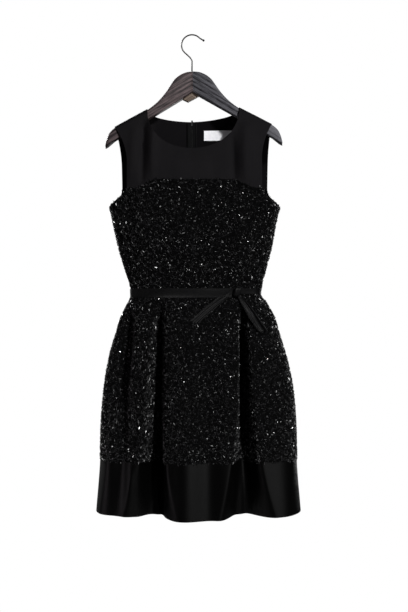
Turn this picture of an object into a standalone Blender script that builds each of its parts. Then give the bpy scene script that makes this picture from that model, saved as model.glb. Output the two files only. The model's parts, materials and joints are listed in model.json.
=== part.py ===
"""A sleeveless embroidered dress that hangs on a wooden hanger.

Sizes are in millimetres, and a mesh is scaled to metres as it is made. +X is the
right of the front view, the dress faces -Y and +Z is up. The origin is the
underside of the hook's arc, where a rail bears. Each cloth piece is a wall:
points on its outer face come from a shape function, and the inner face is moved
in along the normals. The angle phi goes from the left side seam, 0, over the
front or the back to the right side seam, pi.
"""

import math

import bmesh
import bpy
import numpy as np

MM = 0.001
SEAM = 0.3

WALL_EMBROIDERED = 2.0
WALL_CREPE = 1.4
WALL_SATIN = 1.6

# Heights of the main lines
NECK_Z = -171.0
SHOULDER_Z = -211.5
UNDERARM_Z = -398.0
ARMHOLE_TOP_Z = -344.0
WAIST_Z = -593.0
BAND_TOP_Z = -967.5
HEM_Z = -1088.0
HEM_DIP = 5.0

# Yoke plan
NECK_HALF = 105.0
SHOULDER_HALF = 179.0
SHOULDER_SLOPE = (NECK_Z - SHOULDER_Z) / (SHOULDER_HALF - NECK_HALF)
FRONT_ARMHOLE_HALF = 152.0
BACK_ARMHOLE_HALF = 170.0
ARMHOLE_FLARE = 84.0
UNDER_NECK_SHIFT = 4.0
YOKE_SEAM_Z = -339.0
YOKE_SEAM_DROP = 18.0
YOKE_SEAM_FLAT = 84.0
YOKE_SEAM_EASE = 52.0
BACK_SEAM_Z = -349.0
SHOULDER_COLS = 4
NECK_ANGLES = {"front": (0, 1.5, 4, 8, 18, 32, 48, 68, 90), "back": (0, 4, 9, 15, 26, 38, 53, 71, 90)}
NECK_SQUARE = {"front": 2.15, "back": 2.0}
NECK_DROP = {"front": 96.0, "back": 23.5}

# Hanger, which leans a little as it hangs, with its right end higher
LEAN = 0.018
LEAN_SHIFT = -LEAN * NECK_Z
ARM_THICK = 20.0
ARM_SWEEP = 24.0
ARM_REACH = 200.0
ARM_CLEARANCE = 1.0
ARM_RISE = 0.78
ARM_RISE_WIDE = 16.0
FOLD_RADIUS = ARM_THICK / 2 + ARM_CLEARANCE + WALL_CREPE

# Belt
BELT_TOP_Z = -582.5
BELT_LOW_Z = -603.5
BODICE_ROWS = (-560.0, -525.0, -485.0, -447.0, -422.0)
SKIRT_ROWS = (-603.5, -615.0, -634.0, -665.0, -710.0, -770.0, -840.0, -905.0)
BAND_ROWS = 4
ARMHOLE_ROWS = 5
BELT_GAP = 0.5
BELT_THICK = 1.2

KNOT_X = 99.0
KNOT_Z = -590.5
KNOT_HALF_WIDE = 9.5
KNOT_HALF_DEEP = 6.0
KNOT_HALF_TALL = 11.0
KNOT_PINCH = 0.12
KNOT_LEAN = 2.0
KNOT_RINGS = 9
KNOT_SIDES = 16
BELT_COLUMNS = 32
TAIL_GAP = 2.4
TAIL_ROWS = 11

# Free ends of the belt, as seen from the front
TAIL_COLUMNS = ("name", "x_start", "z_start", "x_end", "z_end", "wide_start", "wide_end", "bow",
                "slant", "puff", "curl")
TAILS = (
    ("belt_tail_left", 92, -603.5, 5, -656, 10, 18, 3, 12, 3, 0),
    ("belt_tail_right", 107, -603.5, 153, -682, 9, 17, -2, 10, 4, 4),
)

# Zip, label and neck fastener
ZIP_HALF = 11.5
ZIP_THICK = 0.8
ZIP_TAPE_GAP = 0.9
ZIP_ROWS = (-640.0, -626.0, -613.0, -605.0, -597.0, -590.0, -582.0, -560.0, -525.0, -485.0, -447.0,
            -400.0, -349.0, -295.0, -250.0, -222.0, -196.5)
ZIP_GAP = 0.4
SLIDER_HALF = 2.6
SLIDER_HALF_TALL = 4.5
SLIDER_THICK = 1.6
EAR_THICK = 1.0
EAR_HALF_TALL = 1.5
EAR_SINK = 0.8
EAR_OVER_PIN = 1.0
ZIP_SLIDER_Z = -206.5
PIN_RADIUS = 0.5
PIN_Y = 3.6
PIN_Z = 2.7
SLEEVE_WALL = 0.9
SLEEVE_PLAY = 0.25
SLEEVE_HALF = 1.7
PULL_LONG = 15.0
PULL_THICK = 0.8
NECK_HOOK_LOW = -202.5
NECK_HOOK_TOP = -190.5
NECK_HOOK_HALF = 2.6
NECK_HOOK_THICK = 1.2
LABEL_LEFT = 28.0
LABEL_WIDE = 66.0
LABEL_TALL = 22.0
LABEL_TOP_Z = -214.0
LABEL_THICK = 0.6
LABEL_GAP = -0.2

# Hanger arms: distance from the middle, and height of the top and of the lower edge
ARM_TOP = ((0, -83), (12, -84.5), (25, -89.5), (41, -101.5), (52, -117), (62, -132), (81, -154),
           (105, -173.3), (179, -213.8), (192, -226), (198, -239), (201, -252))
ARM_LOW = ((0, -127.5), (180, -239.5), (194, -251.5), (201, -256))
ARM_STATIONS = (0, 12, 25, 33, 41, 52, 62, 72, 81, 93, 105, 124, 143, 161, 179, 192, 198, 201)
ARM_TAPERS = (1,) * 15 + (0.95, 0.8, 0.55)
ARM_EDGE = 2.5
ARM_UNDERSIDE_FALL = 6.0

# Hook
HOOK_WIRE = 3.2
HOOK_RADIUS = 24.0
HOOK_CENTRE_Z = -HOOK_RADIUS + HOOK_WIRE / 2
HOOK_TIP = (26.6, -11.5)
HOOK_START = 42
HOOK_END = 212
HOOK_NECK_Z = -60.0
HOOK_FOOT_Z = -82.4
HOOK_EASE = 9.0
HOOK_BALL = 2.6
HOOK_BALL_TURNS = (25, 60, 95, 130)
HOOK_SIDES = 8
HOOK_STEPS = 15

# Closed section of the dress: height, middle, half width, depth of the front and of
# the back from the side seams, and how square the corners are
SECTION_COLUMNS = ("z", "mid", "half", "front", "back", "square")
SECTIONS = (
    (-320, 6, 204, 65, 58, 2.8),
    (-400, 6, 195, 73, 62, 2.6),
    (-412, 6, 191, 74, 62, 2.6),
    (-447, 6, 184, 75, 62, 2.5),
    (-490, 7, 175, 70, 60, 2.4),
    (-540, 8, 161, 60, 54, 2.3),
    (-576, 9, 151, 54, 50, 2.3),
    (-597, 9, 149, 53, 49, 2.3),
    (-613, 12, 158, 57, 53, 2.3),
    (-650, 13, 177, 68, 62, 2.4),
    (-687, 13, 188, 78, 70, 2.4),
    (-723, 13, 199, 87, 76, 2.5),
    (-760, 14, 208, 93, 82, 2.5),
    (-815, 15, 217, 100, 88, 2.5),
    (-890, 15, 223, 105, 94, 2.6),
    (-968, 15, 225, 109, 99, 2.6),
    (-1088, 15, 234, 114, 105, 2.6),
)

# Folds of the skirt: side, x and half width at the top, x and half width at the hem,
# depth at the hip and at the hem, height where it starts, height where it is full
FOLD_COLUMNS = ("side", "x_top", "x_hem", "wide_top", "wide_hem", "deep_hip", "deep_hem",
                "start_z", "full_z")
FOLDS = (
    ("front", -78, -94, 15, 66, 50, 64, -605, -720),
    ("front", 115, 123, 14, 66, 54, 82, -605, -720),
    ("front", -136, -166, 17, 42, 13, 24, -605, -690),
    ("back", -72, -86, 14, 60, 34, 46, -605, -720),
    ("back", 92, 116, 14, 60, 34, 46, -605, -720),
)
FRONT_PLEATS = FOLDS[0:2]
BACK_PLEATS = FOLDS[3:5]


def read_table(rows, columns):
    """Return a table as named columns of numbers."""
    return {name: np.array([row[i] for row in rows], float) for i, name in enumerate(columns)}


def slopes(z, v):
    """Return slopes at the table's points that let a cubic pass without overshoot."""
    step = np.diff(z)
    rise = np.diff(v) / step
    out = np.zeros_like(v)
    out[0] = rise[0]
    out[-1] = rise[-1]
    for i in range(1, len(v) - 1):
        a, b = rise[i - 1], rise[i]
        if a * b > 0:
            w1 = 2 * step[i] + step[i - 1]
            w2 = step[i] + 2 * step[i - 1]
            out[i] = (w1 + w2) / (w1 / a + w2 / b)
    return out


def smooth_column(z_knots, values):
    """Return a function that reads one column of a table at any height."""
    order = np.argsort(z_knots)
    zk = z_knots[order]
    vk = values[order]
    mk = slopes(zk, vk)

    def at(z):
        z = np.clip(z, zk[0], zk[-1])
        i = np.clip(np.searchsorted(zk, z) - 1, 0, len(zk) - 2)
        h = zk[i + 1] - zk[i]
        t = (z - zk[i]) / h
        low = (1 + 2 * t) * (1 - t) ** 2 * vk[i] + t * (1 - t) ** 2 * h * mk[i]
        high = t * t * (3 - 2 * t) * vk[i + 1] + t * t * (t - 1) * h * mk[i + 1]
        return low + high

    return at


TABLE = read_table(SECTIONS, SECTION_COLUMNS)
SECTION = {name: smooth_column(TABLE["z"], TABLE[name]) for name in SECTION_COLUMNS[1:]}


def smoothstep(t):
    t = np.clip(t, 0.0, 1.0)
    return t * t * (3 - 2 * t)


def angle_of_x(x, z):
    """Return phi of the point of the closed section at height z that lies at x."""
    n = SECTION["square"](z)
    across = np.clip((SECTION["mid"](z) - x) / SECTION["half"](z), -1, 1)
    deep = (1 - np.abs(across) ** n) ** (1 / n)
    return np.arctan2(deep, across)


def section_point(side, phi, z):
    """Return x, y and the outward normal of the closed section, without folds."""
    n = SECTION["square"](z)
    half = SECTION["half"](z)
    depth = SECTION[side](z)
    sign = -1.0 if side == "front" else 1.0
    c = np.cos(phi)
    s = np.sin(phi)
    reach = (np.abs(c) ** n + np.abs(s) ** n) ** (1 / n)
    across = c / reach
    deep = s / reach
    x = SECTION["mid"](z) - half * across
    y = sign * depth * deep
    nx = -np.sign(across) * np.abs(across) ** (n - 1) / half
    ny = sign * np.abs(deep) ** (n - 1) / depth
    size = np.sqrt(nx * nx + ny * ny)
    return x, y, nx / size, ny / size


def fold_line(row, z):
    """Return the x, half width and depth of a fold at height z."""
    fold = dict(zip(FOLD_COLUMNS, row))
    down = np.clip((fold["start_z"] - z) / (fold["start_z"] - HEM_Z), 0, 1.1)
    x = fold["x_top"] + (fold["x_hem"] - fold["x_top"]) * down
    wide = fold["wide_top"] + (fold["wide_hem"] - fold["wide_top"]) * down ** 3
    opened = smoothstep((fold["start_z"] - z) / (fold["start_z"] - fold["full_z"]))
    deep = opened * (fold["deep_hip"] + (fold["deep_hem"] - fold["deep_hip"]) * down ** 2)
    return x, wide, deep


def fold_depth(side, x, z):
    """Return how far the folds of one side carry the cloth in."""
    total = np.zeros(np.broadcast(x, z).shape)
    for row in FOLDS:
        if row[0] == side:
            fold_x, wide, deep = fold_line(row, z)
            t = np.clip((x - fold_x) / wide, -1, 1)
            total = total + deep * (0.5 + 0.5 * np.cos(math.pi * t))
    return total


def hem_dip(side, phi, z):
    """Return how far the middle of the front hangs below the level line at the hem."""
    if side == "back":
        return 0.0 * phi
    share = np.clip((BAND_TOP_Z - z) / (BAND_TOP_Z - HEM_Z), 0, 1.2)
    return HEM_DIP * share * np.sin(phi) ** 4


def dress_point(side, phi, z, folded=True):
    """Return points of the outer face of the dress below the yoke."""
    phi, z = np.broadcast_arrays(np.asarray(phi, float), np.asarray(z, float))
    x, y, nx, ny = section_point(side, phi, z)
    deep = fold_depth(side, x, z) if folded else 0.0
    return np.stack([x - nx * deep, y - ny * deep, z - hem_dip(side, phi, z)], axis=-1)


def unit(v):
    return v / np.linalg.norm(v, axis=-1, keepdims=True)


def dress_normal(side, phi, z, folded=True):
    """Return outward normals of the dress from small steps along its face."""
    step_phi = 0.002
    step_z = 0.5
    along = (dress_point(side, phi + step_phi, z, folded)
             - dress_point(side, phi - step_phi, z, folded))
    up = dress_point(side, phi, z + step_z, folded) - dress_point(side, phi, z - step_z, folded)
    normal = unit(np.cross(along, up))
    return normal if side == "front" else -normal


def material(name, color, roughness, metallic=0.0):
    """Return a plain material."""
    made = bpy.data.materials.new(name)
    made.use_nodes = True
    shader = made.node_tree.nodes["Principled BSDF"]
    shader.inputs["Base Color"].default_value = (*color, 1.0)
    shader.inputs["Roughness"].default_value = roughness
    shader.inputs["Metallic"].default_value = metallic
    return made


def new_object(name, verts, faces, finish):
    """Make an object from points in millimetres, with its faces turned outwards."""
    mesh = bpy.data.meshes.new(name)
    mesh.from_pydata([tuple(float(c) * MM for c in v) for v in verts], [], faces)
    work = bmesh.new()
    work.from_mesh(mesh)
    bmesh.ops.recalc_face_normals(work, faces=work.faces)
    if work.calc_volume(signed=True) < 0:
        bmesh.ops.reverse_faces(work, faces=work.faces)
    work.to_mesh(mesh)
    work.free()
    mesh.materials.append(finish)
    mesh.shade_smooth()
    mesh.set_sharp_from_angle(angle=math.radians(40))
    obj = bpy.data.objects.new(name, mesh)
    bpy.context.scene.collection.objects.link(obj)
    return obj


def wall_object(name, outer, inner, finish, closed=False):
    """Make a wall between two grids of points. A closed grid joins its last column to its first."""
    rows, cols = outer.shape[:2]
    verts = np.concatenate([outer.reshape(-1, 3), inner.reshape(-1, 3)])
    half = rows * cols
    steps = cols if closed else cols - 1
    faces = []
    for i in range(rows - 1):
        for j in range(steps):
            k = (j + 1) % cols
            a, b = i * cols + j, i * cols + k
            c, d = (i + 1) * cols + k, (i + 1) * cols + j
            faces.append((a, b, c, d))
            faces.append((d + half, c + half, b + half, a + half))
    for j in range(steps):
        k = (j + 1) % cols
        top = (rows - 1) * cols
        faces.append((j, j + half, k + half, k))
        faces.append((top + k, top + k + half, top + j + half, top + j))
    if not closed:
        for i in range(rows - 1):
            a, d = i * cols, (i + 1) * cols
            faces.append((a, d, d + half, a + half))
            a, d = a + cols - 1, d + cols - 1
            faces.append((d, a, a + half, d + half))
    return new_object(name, verts, faces, finish)


def spread(knots, counts):
    """Return columns of numbers between knots, with a count of steps for each stretch."""
    parts = []
    for low, high, count in zip(knots[:-1], knots[1:], counts):
        t = np.linspace(0, 1, count + 1)[:-1]
        parts.append(low[:, None] + (high - low)[:, None] * t[None, :])
    parts.append(knots[-1][:, None])
    return np.concatenate(parts, axis=1)


def side_angle(z):
    """Return the small angle that leaves half a seam's gap at the side seam."""
    return SEAM / (SECTION["front"](z) + SECTION["back"](z))


def centre_angle(z):
    """Return the small angle that leaves half a seam's gap at the centre back."""
    return SEAM / 2 / SECTION["half"](z)


def centre_phi(z):
    """Return phi of the centre back, which lies at x = 0."""
    return angle_of_x(0.0 * z, z)


def skirt_columns(pleats, z, start, end, counts):
    """Return phi of a skirt piece's columns, which follow its pleats down."""
    knots = [start]
    for row in pleats:
        x, wide, _ = fold_line(row, z)
        knots.extend(angle_of_x(x + shift * wide, z) for shift in (-1, 0, 1))
    knots.append(end)
    return spread(knots, counts)


def left_seam(z):
    return side_angle(z)


def right_seam(z):
    return math.pi - side_angle(z)


def before_centre(z):
    return centre_phi(z) - centre_angle(z)


def after_centre(z):
    return centre_phi(z) + centre_angle(z)


# Pieces of the skirt and of the hem band: end of the name, side, pleats, edges and the
# count of columns between one edge, the pleats' lines and the other edge
TUBE_PIECES = (
    ("front", "front", FRONT_PLEATS, left_seam, right_seam, (7, 4, 4, 7, 4, 4, 6)),
    ("back_left", "back", BACK_PLEATS[:1], left_seam, before_centre, (6, 4, 4, 3)),
    ("back_right", "back", BACK_PLEATS[1:], after_centre, right_seam, (3, 4, 4, 6)),
)


def make_tube(name, rows_z, wall, finish):
    """Make the three pieces of the skirt or of the hem band."""
    z = np.asarray(rows_z, float)
    for ending, side, pleats, start, end, counts in TUBE_PIECES:
        phi = skirt_columns(pleats, z, start(z), end(z), counts)
        zz = np.broadcast_to(z[:, None], phi.shape)
        outer = dress_point(side, phi, zz)
        inner = outer - wall * dress_normal(side, phi, zz)
        wall_object(f"{name}_{ending}", outer, inner, finish)


def seam_height(side, x):
    """Return the height of the seam between yoke and bodice."""
    if side == "back":
        return BACK_SEAM_Z + 0.0 * x
    away = np.abs(x - SECTION["mid"](YOKE_SEAM_Z)) - YOKE_SEAM_FLAT
    return YOKE_SEAM_Z - YOKE_SEAM_DROP * smoothstep(away / YOKE_SEAM_EASE)


def armhole_half(side):
    return FRONT_ARMHOLE_HALF if side == "front" else BACK_ARMHOLE_HALF


def armhole_edge(side, r):
    """Return phi and height along the bodice's armhole, from underarm, 0, to yoke seam, 1."""
    mid = SECTION["mid"](YOKE_SEAM_Z)
    x = mid - armhole_half(side)
    top = float(seam_height(side, np.array(x))) - SEAM / 2
    tall = ARMHOLE_TOP_Z - UNDERARM_Z
    end = math.acos(min(1.0, (ARMHOLE_TOP_Z - top) / tall))
    a = end * np.asarray(r, float)
    z = ARMHOLE_TOP_Z - tall * np.cos(a)
    reach = float(angle_of_x(np.array(x), np.array(top)))
    base = side_angle(z)
    return base + (reach - base) * np.sin(a) / math.sin(end), z


def bodice_grid(side, part, arm_rows):
    """Return phi and z for a bodice piece, whose columns meet those of the yoke above it."""
    arm = np.linspace(0, 1, arm_rows + 1)
    edge_z_low = np.array([WAIST_Z + SEAM / 2, BELT_TOP_Z, *BODICE_ROWS])
    arm_phi, arm_z = armhole_edge(side, arm)
    edge_z = np.concatenate([edge_z_low, arm_z])
    edge_phi = np.concatenate([side_angle(edge_z_low), arm_phi])
    rise = (edge_z - edge_z[0]) / (edge_z[-1] - edge_z[0])
    seam_x = yoke_bottom(side, part)
    seam_phi = angle_of_x(seam_x, seam_height(side, seam_x))
    q = ((seam_phi - seam_phi[0]) / (seam_phi[-1] - seam_phi[0]))[None, :]
    if part == "front":
        start, end = edge_phi, math.pi - edge_phi
        at_edge = np.abs(2 * q - 1) ** 3
    elif part == "left":
        start, end = edge_phi, before_centre(edge_z)
        at_edge = (1 - q) ** 3
    else:
        start, end = after_centre(edge_z), math.pi - edge_phi
        at_edge = q ** 3
    phi = start[:, None] + (end - start)[:, None] * q
    top_z = seam_height(side, seam_x) - SEAM / 2
    even = edge_z[0] + (top_z - edge_z[0])[None, :] * rise[:, None]
    smooth_rise = np.linspace(0, 1, len(edge_z))[:, None]
    inner = edge_z[0] + (top_z - edge_z[0])[None, :] * smooth_rise
    z = even * at_edge + inner * (1 - at_edge)
    return phi, z


def bodice_piece(name, side, part, finish):
    phi, z = bodice_grid(side, part, ARMHOLE_ROWS)
    outer = dress_point(side, phi, z)
    inner = outer - WALL_EMBROIDERED * dress_normal(side, phi, z)
    return wall_object(name, outer, inner, finish)


def make_bodice(finish):
    """Make the three pieces of the embroidered bodice."""
    bodice_piece("bodice_front", "front", "front", finish)
    bodice_piece("bodice_back_left", "back", "left", finish)
    bodice_piece("bodice_back_right", "back", "right", finish)


def arm_middle(x):
    """Return y of the middle of the hanger's arms, which sweep forward to their tips."""
    return -ARM_SWEEP * np.sin(math.pi / 2 * np.clip(np.abs(x) / ARM_REACH, 0, 1.2))


def shoulder_line(x):
    """Return the height of the shoulder seam, which rises a little past the neck with the arm."""
    across = x - LEAN_SHIFT
    beyond = np.abs(across) - NECK_HALF
    past_neck = ARM_RISE * np.clip(-beyond, 0, ARM_RISE_WIDE)
    return NECK_Z - SHOULDER_SLOPE * np.clip(beyond, 0, None) + past_neck + LEAN * across


def yoke_depth(side, x, z):
    """Return y of the yoke: over the arm's round top, then down to the bodice."""
    sign = -1.0 if side == "front" else 1.0
    drop = np.clip(shoulder_line(x) - z, 0, None)
    bend = np.sqrt(1 - (1 - np.clip(drop / FOLD_RADIUS, 0, 1)) ** 2)
    seam_z = seam_height(side, x)
    seam_y = section_point(side, angle_of_x(x, seam_z), seam_z)[1]
    start_y = arm_middle(x) + sign * FOLD_RADIUS
    share = np.clip(drop / (shoulder_line(x) - seam_z), 0, 1)
    fall = share * (1.5 - 0.5 * share)
    return arm_middle(x) + sign * (FOLD_RADIUS * bend + SEAM / 2) + (seam_y - start_y) * fall


def neck_curve(side):
    """Return x and z of the left half of the neckline, from the shoulder to the middle."""
    a = np.radians(NECK_ANGLES[side])
    n = NECK_SQUARE[side]
    reach = (np.cos(a) ** n + np.sin(a) ** n) ** (1 / n)
    return -NECK_HALF * np.cos(a) / reach, NECK_Z - NECK_DROP[side] * np.sin(a) / reach


def yoke_top(side, part):
    """Return x and z of a yoke piece's top edge, from left to right, leaned with the hanger."""
    x = -SHOULDER_HALF + (SHOULDER_HALF - NECK_HALF) * np.arange(SHOULDER_COLS) / SHOULDER_COLS
    shoulder = np.stack([x, NECK_Z + SHOULDER_SLOPE * (NECK_HALF + x)], axis=1)
    left = np.concatenate([shoulder, np.stack(neck_curve(side), axis=1)])
    right = left[::-1] * np.array([-1.0, 1.0])
    if part == "front":
        edge = np.concatenate([left, right[1:]])
    else:
        edge = left if part == "left" else right
    edge = np.stack([edge[:, 0] + LEAN_SHIFT, edge[:, 1] + LEAN * edge[:, 0]], axis=1)
    if part == "left":
        edge[-1, 0] = -SEAM / 2
    elif part == "right":
        edge[0, 0] = SEAM / 2
    return edge


def yoke_bottom(side, part):
    """Return x of a yoke piece's lower edge, under the same columns as its top edge."""
    mid = float(SECTION["mid"](YOKE_SEAM_Z))
    outer = armhole_half(side)
    under_neck = NECK_HALF - UNDER_NECK_SHIFT
    x = neck_curve(side)[0]
    even = np.linspace(0, 1, len(x))
    share = 0.5 * even + 0.5 * (1 + x / NECK_HALF)
    centre = 0.0 if part != "front" else mid
    left = np.linspace(mid - outer, mid - under_neck, SHOULDER_COLS + 1)[:-1]
    left = np.concatenate([left, mid - under_neck + (centre - mid + under_neck) * share])
    right = np.linspace(mid + outer, mid + under_neck, SHOULDER_COLS + 1)[:-1]
    right = np.concatenate([right, mid + under_neck + (centre - mid - under_neck) * share])[::-1]
    if part == "left":
        left[-1] = -SEAM / 2
        return left
    if part == "right":
        right[0] = SEAM / 2
        return right
    return np.concatenate([left, right[1:]])


def armhole_bow(z, top_z, low_z):
    """Return how far the armhole edge lies outside a straight line from seam to shoulder, as a share."""
    along = (top_z - z) / (top_z - low_z)
    flare = np.clip((z - (top_z - ARMHOLE_FLARE)) / ARMHOLE_FLARE, 0, 1) ** 2
    return flare - (1 - along)


def yoke_piece(name, side, part, finish):
    """Make the front yoke or one half of the back yoke."""
    shoulder_cols = SHOULDER_COLS
    top = yoke_top(side, part)
    low_x = yoke_bottom(side, part)
    low_z = seam_height(side, low_x) + SEAM / 2
    turn = np.linspace(0, math.pi / 2, 5)
    top_drop = FOLD_RADIUS * (1 - np.cos(turn))
    body = np.linspace(0, 1, 6)[1:]
    tall = top[:, 1] - low_z
    edge_drop = top_drop[None, :] * np.ones((len(tall), 1))
    body_drop = FOLD_RADIUS + (tall - FOLD_RADIUS)[:, None] * body[None, :]
    drop = np.concatenate([edge_drop, body_drop], axis=1).T[::-1]
    z = top[:, 1][None, :] - drop
    share = drop / tall[None, :]
    x = top[:, 0][None, :] + (low_x - top[:, 0])[None, :] * share
    spread_x = (top[:, 0] - low_x)[None, :]
    bow = armhole_bow(z, top[:, 1][None, :], low_z[None, :]) * spread_x
    weight = np.zeros(len(low_x))
    if part in ("front", "left"):
        weight[:shoulder_cols] = (1 - np.arange(shoulder_cols) / shoulder_cols) ** 1.5
    if part in ("front", "right"):
        weight[-shoulder_cols:] = ((1 + np.arange(shoulder_cols)) / shoulder_cols) ** 1.5
    x = x + bow * weight[None, :]
    outer = np.stack([x, yoke_depth(side, x, z), z], axis=-1)
    across = np.gradient(outer, axis=1)
    up = np.gradient(outer, axis=0)
    normal = unit(np.cross(across, up))
    normal = normal if side == "front" else -normal
    phi = angle_of_x(x[0], z[0])
    normal[0] = dress_normal(side, phi, z[0])
    sign = np.sign(top[:, 0])
    over_arm = unit(np.stack([sign * SHOULDER_SLOPE - LEAN, 0 * sign, 1 + 0 * sign], axis=1))
    on_shoulder = np.abs(top[:, 0] - LEAN_SHIFT) > NECK_HALF - 0.01
    normal[-1][on_shoulder] = over_arm[on_shoulder]
    if part != "front":
        centre = -1 if part == "left" else 0
        normal[:, centre, 0] = 0.0
        normal[:, centre] = unit(normal[:, centre])
    return wall_object(name, outer, outer - WALL_CREPE * normal, finish)


def make_yoke(finish):
    """Make the three pieces of the plain yoke."""
    yoke_piece("yoke_front", "front", "front", finish)
    yoke_piece("yoke_back_left", "back", "left", finish)
    yoke_piece("yoke_back_right", "back", "right", finish)


def belt_grid(lift):
    """Return a ring of points around the waist, moved out from the dress."""
    z = np.linspace(BELT_LOW_Z, BELT_TOP_Z, 3)[:, None]
    phi = np.linspace(0, math.pi, BELT_COLUMNS + 1)[None, :]
    front = (dress_point("front", phi, z, False) + lift * dress_normal("front", phi, z, False))
    back = (dress_point("back", phi, z, False) + lift * dress_normal("back", phi, z, False))
    return np.concatenate([front, back[:, -2:0:-1]], axis=1)


def make_belt(finish):
    """Make the ring of ribbon around the waist."""
    wall_object("belt", belt_grid(BELT_GAP + BELT_THICK), belt_grid(BELT_GAP), finish, closed=True)


def front_point(x, z, lift):
    """Return points over the front, bridging the folds, at a distance from the cloth."""
    phi = angle_of_x(x, z)
    return dress_point("front", phi, z, False) + lift[..., None] * dress_normal("front", phi, z, False)


def make_knot(finish):
    """Make the knot, a rounded block whose middle is pulled in by the ribbon's turn."""
    base = front_point(np.array(KNOT_X), np.array(KNOT_Z), np.array(BELT_GAP + BELT_THICK + 2 * SEAM))
    verts = []
    for i in range(KNOT_RINGS + 1):
        turn = math.pi * i / KNOT_RINGS
        up = -math.cos(turn)
        body = math.sin(turn) ** 0.6 if 0 < i < KNOT_RINGS else 0.0
        pinch = 1 - KNOT_PINCH * math.cos(2 * turn) ** 2
        for j in range(1 if body == 0.0 else KNOT_SIDES):
            b = 2 * math.pi * j / KNOT_SIDES
            across = math.copysign(abs(math.cos(b)) ** 0.8, math.cos(b))
            x = base[0] + KNOT_HALF_WIDE * body * across * pinch + KNOT_LEAN * up
            y = base[1] - KNOT_HALF_DEEP + KNOT_HALF_DEEP * body * math.sin(b)
            verts.append((x, y, base[2] + KNOT_HALF_TALL * up))
    faces = []
    last = len(verts) - 1
    for j in range(KNOT_SIDES):
        k = (j + 1) % KNOT_SIDES
        faces.append((0, 1 + j, 1 + k))
        faces.append((last, last - KNOT_SIDES + k, last - KNOT_SIDES + j))
        for i in range(KNOT_RINGS - 2):
            a = 1 + i * KNOT_SIDES
            faces.append((a + j, a + KNOT_SIDES + j, a + KNOT_SIDES + k, a + k))
    new_object("belt_knot", verts, faces, finish)


def make_tail(name, row, finish):
    """Make one free end of the belt, a strip that lies just over the skirt."""
    tail = dict(zip(TAIL_COLUMNS, row))
    t = np.linspace(0, 1, TAIL_ROWS)[:, None]
    q = np.array([[-0.5, 0.0, 0.5]])
    dx = tail["x_end"] - tail["x_start"]
    dz = tail["z_end"] - tail["z_start"]
    long = math.hypot(dx, dz)
    bow = tail["bow"] * np.sin(math.pi * t)
    wide = tail["wide_start"] + (tail["wide_end"] - tail["wide_start"]) * smoothstep(t * 1.6)
    cut = tail["slant"] * t ** 6 * q
    x = tail["x_start"] + dx * (t + cut / long) - dz / long * (wide * q + bow)
    z = tail["z_start"] + dz * (t + cut / long) + dx / long * (wide * q + bow)
    lift = TAIL_GAP + tail["puff"] * np.sin(math.pi * t) ** 2 + tail["curl"] * (2 * q) ** 2 * t
    x, z, lift = np.broadcast_arrays(x, z, lift)
    outer = front_point(x, z, lift + BELT_THICK)
    inner = front_point(x, z, lift)
    wall_object(name, outer, inner, finish)


def arm_section(x, taper, middle):
    """Return one section of a hanger arm in y and z: a round top and a sloping underside."""
    top = np.interp(x, *np.array(ARM_TOP, float).T)
    low = np.interp(x, *np.array(ARM_LOW, float).T)
    half = ARM_THICK / 2 * taper
    radius = min(half, (top - low) / 2)
    points = []
    for a in np.linspace(0, math.pi, 9):
        points.append((middle + half * math.cos(a), top - radius + radius * math.sin(a)))
    points.append((middle - half, low + ARM_EDGE))
    points.append((middle - half + ARM_EDGE, low))
    points.append((middle + half - ARM_EDGE, low - ARM_UNDERSIDE_FALL))
    points.append((middle + half, low - ARM_UNDERSIDE_FALL + ARM_EDGE))
    return points


def make_arm(name, sign, finish):
    """Make one arm of the hanger as a loft of sections from the middle joint to the tip."""
    verts = []
    rings = []
    for x, taper in zip(ARM_STATIONS, ARM_TAPERS):
        across = sign * max(x, SEAM / 2)
        section = arm_section(x, taper, float(arm_middle(across + LEAN_SHIFT)))
        ring = [(across - LEAN * z, y, z + LEAN * across) for y, z in section]
        rings.append(range(len(verts), len(verts) + len(ring)))
        verts.extend(ring)
    faces = [tuple(rings[0]), tuple(reversed(rings[-1]))]
    for low, high in zip(rings[:-1], rings[1:]):
        count = len(low)
        for j in range(count):
            k = (j + 1) % count
            faces.append((low[j], high[j], high[k], low[k]))
    new_object(name, verts, faces, finish)


def hook_route():
    """Return the middle line of the hook's wire in x and z, from its tip over the arc to its foot."""
    route = [np.array(HOOK_TIP)]
    centre = np.array([0.0, HOOK_CENTRE_Z])
    for a in np.radians(np.linspace(HOOK_START, HOOK_END, HOOK_STEPS)):
        route.append(centre + HOOK_RADIUS * np.array([math.cos(a), math.sin(a)]))
    last = route[-1]
    leaves = last + HOOK_EASE * np.array([-math.sin(a), math.cos(a)])
    neck = np.array([0.0, HOOK_NECK_Z])
    arrives = neck + np.array([0.0, HOOK_EASE])
    for t in np.linspace(0, 1, 6)[1:]:
        s = 1 - t
        route.append(s ** 3 * last + 3 * t * s * s * leaves + 3 * t * t * s * arrives + t ** 3 * neck)
    route.append(np.array([0.0, HOOK_FOOT_Z]))
    return route


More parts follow.
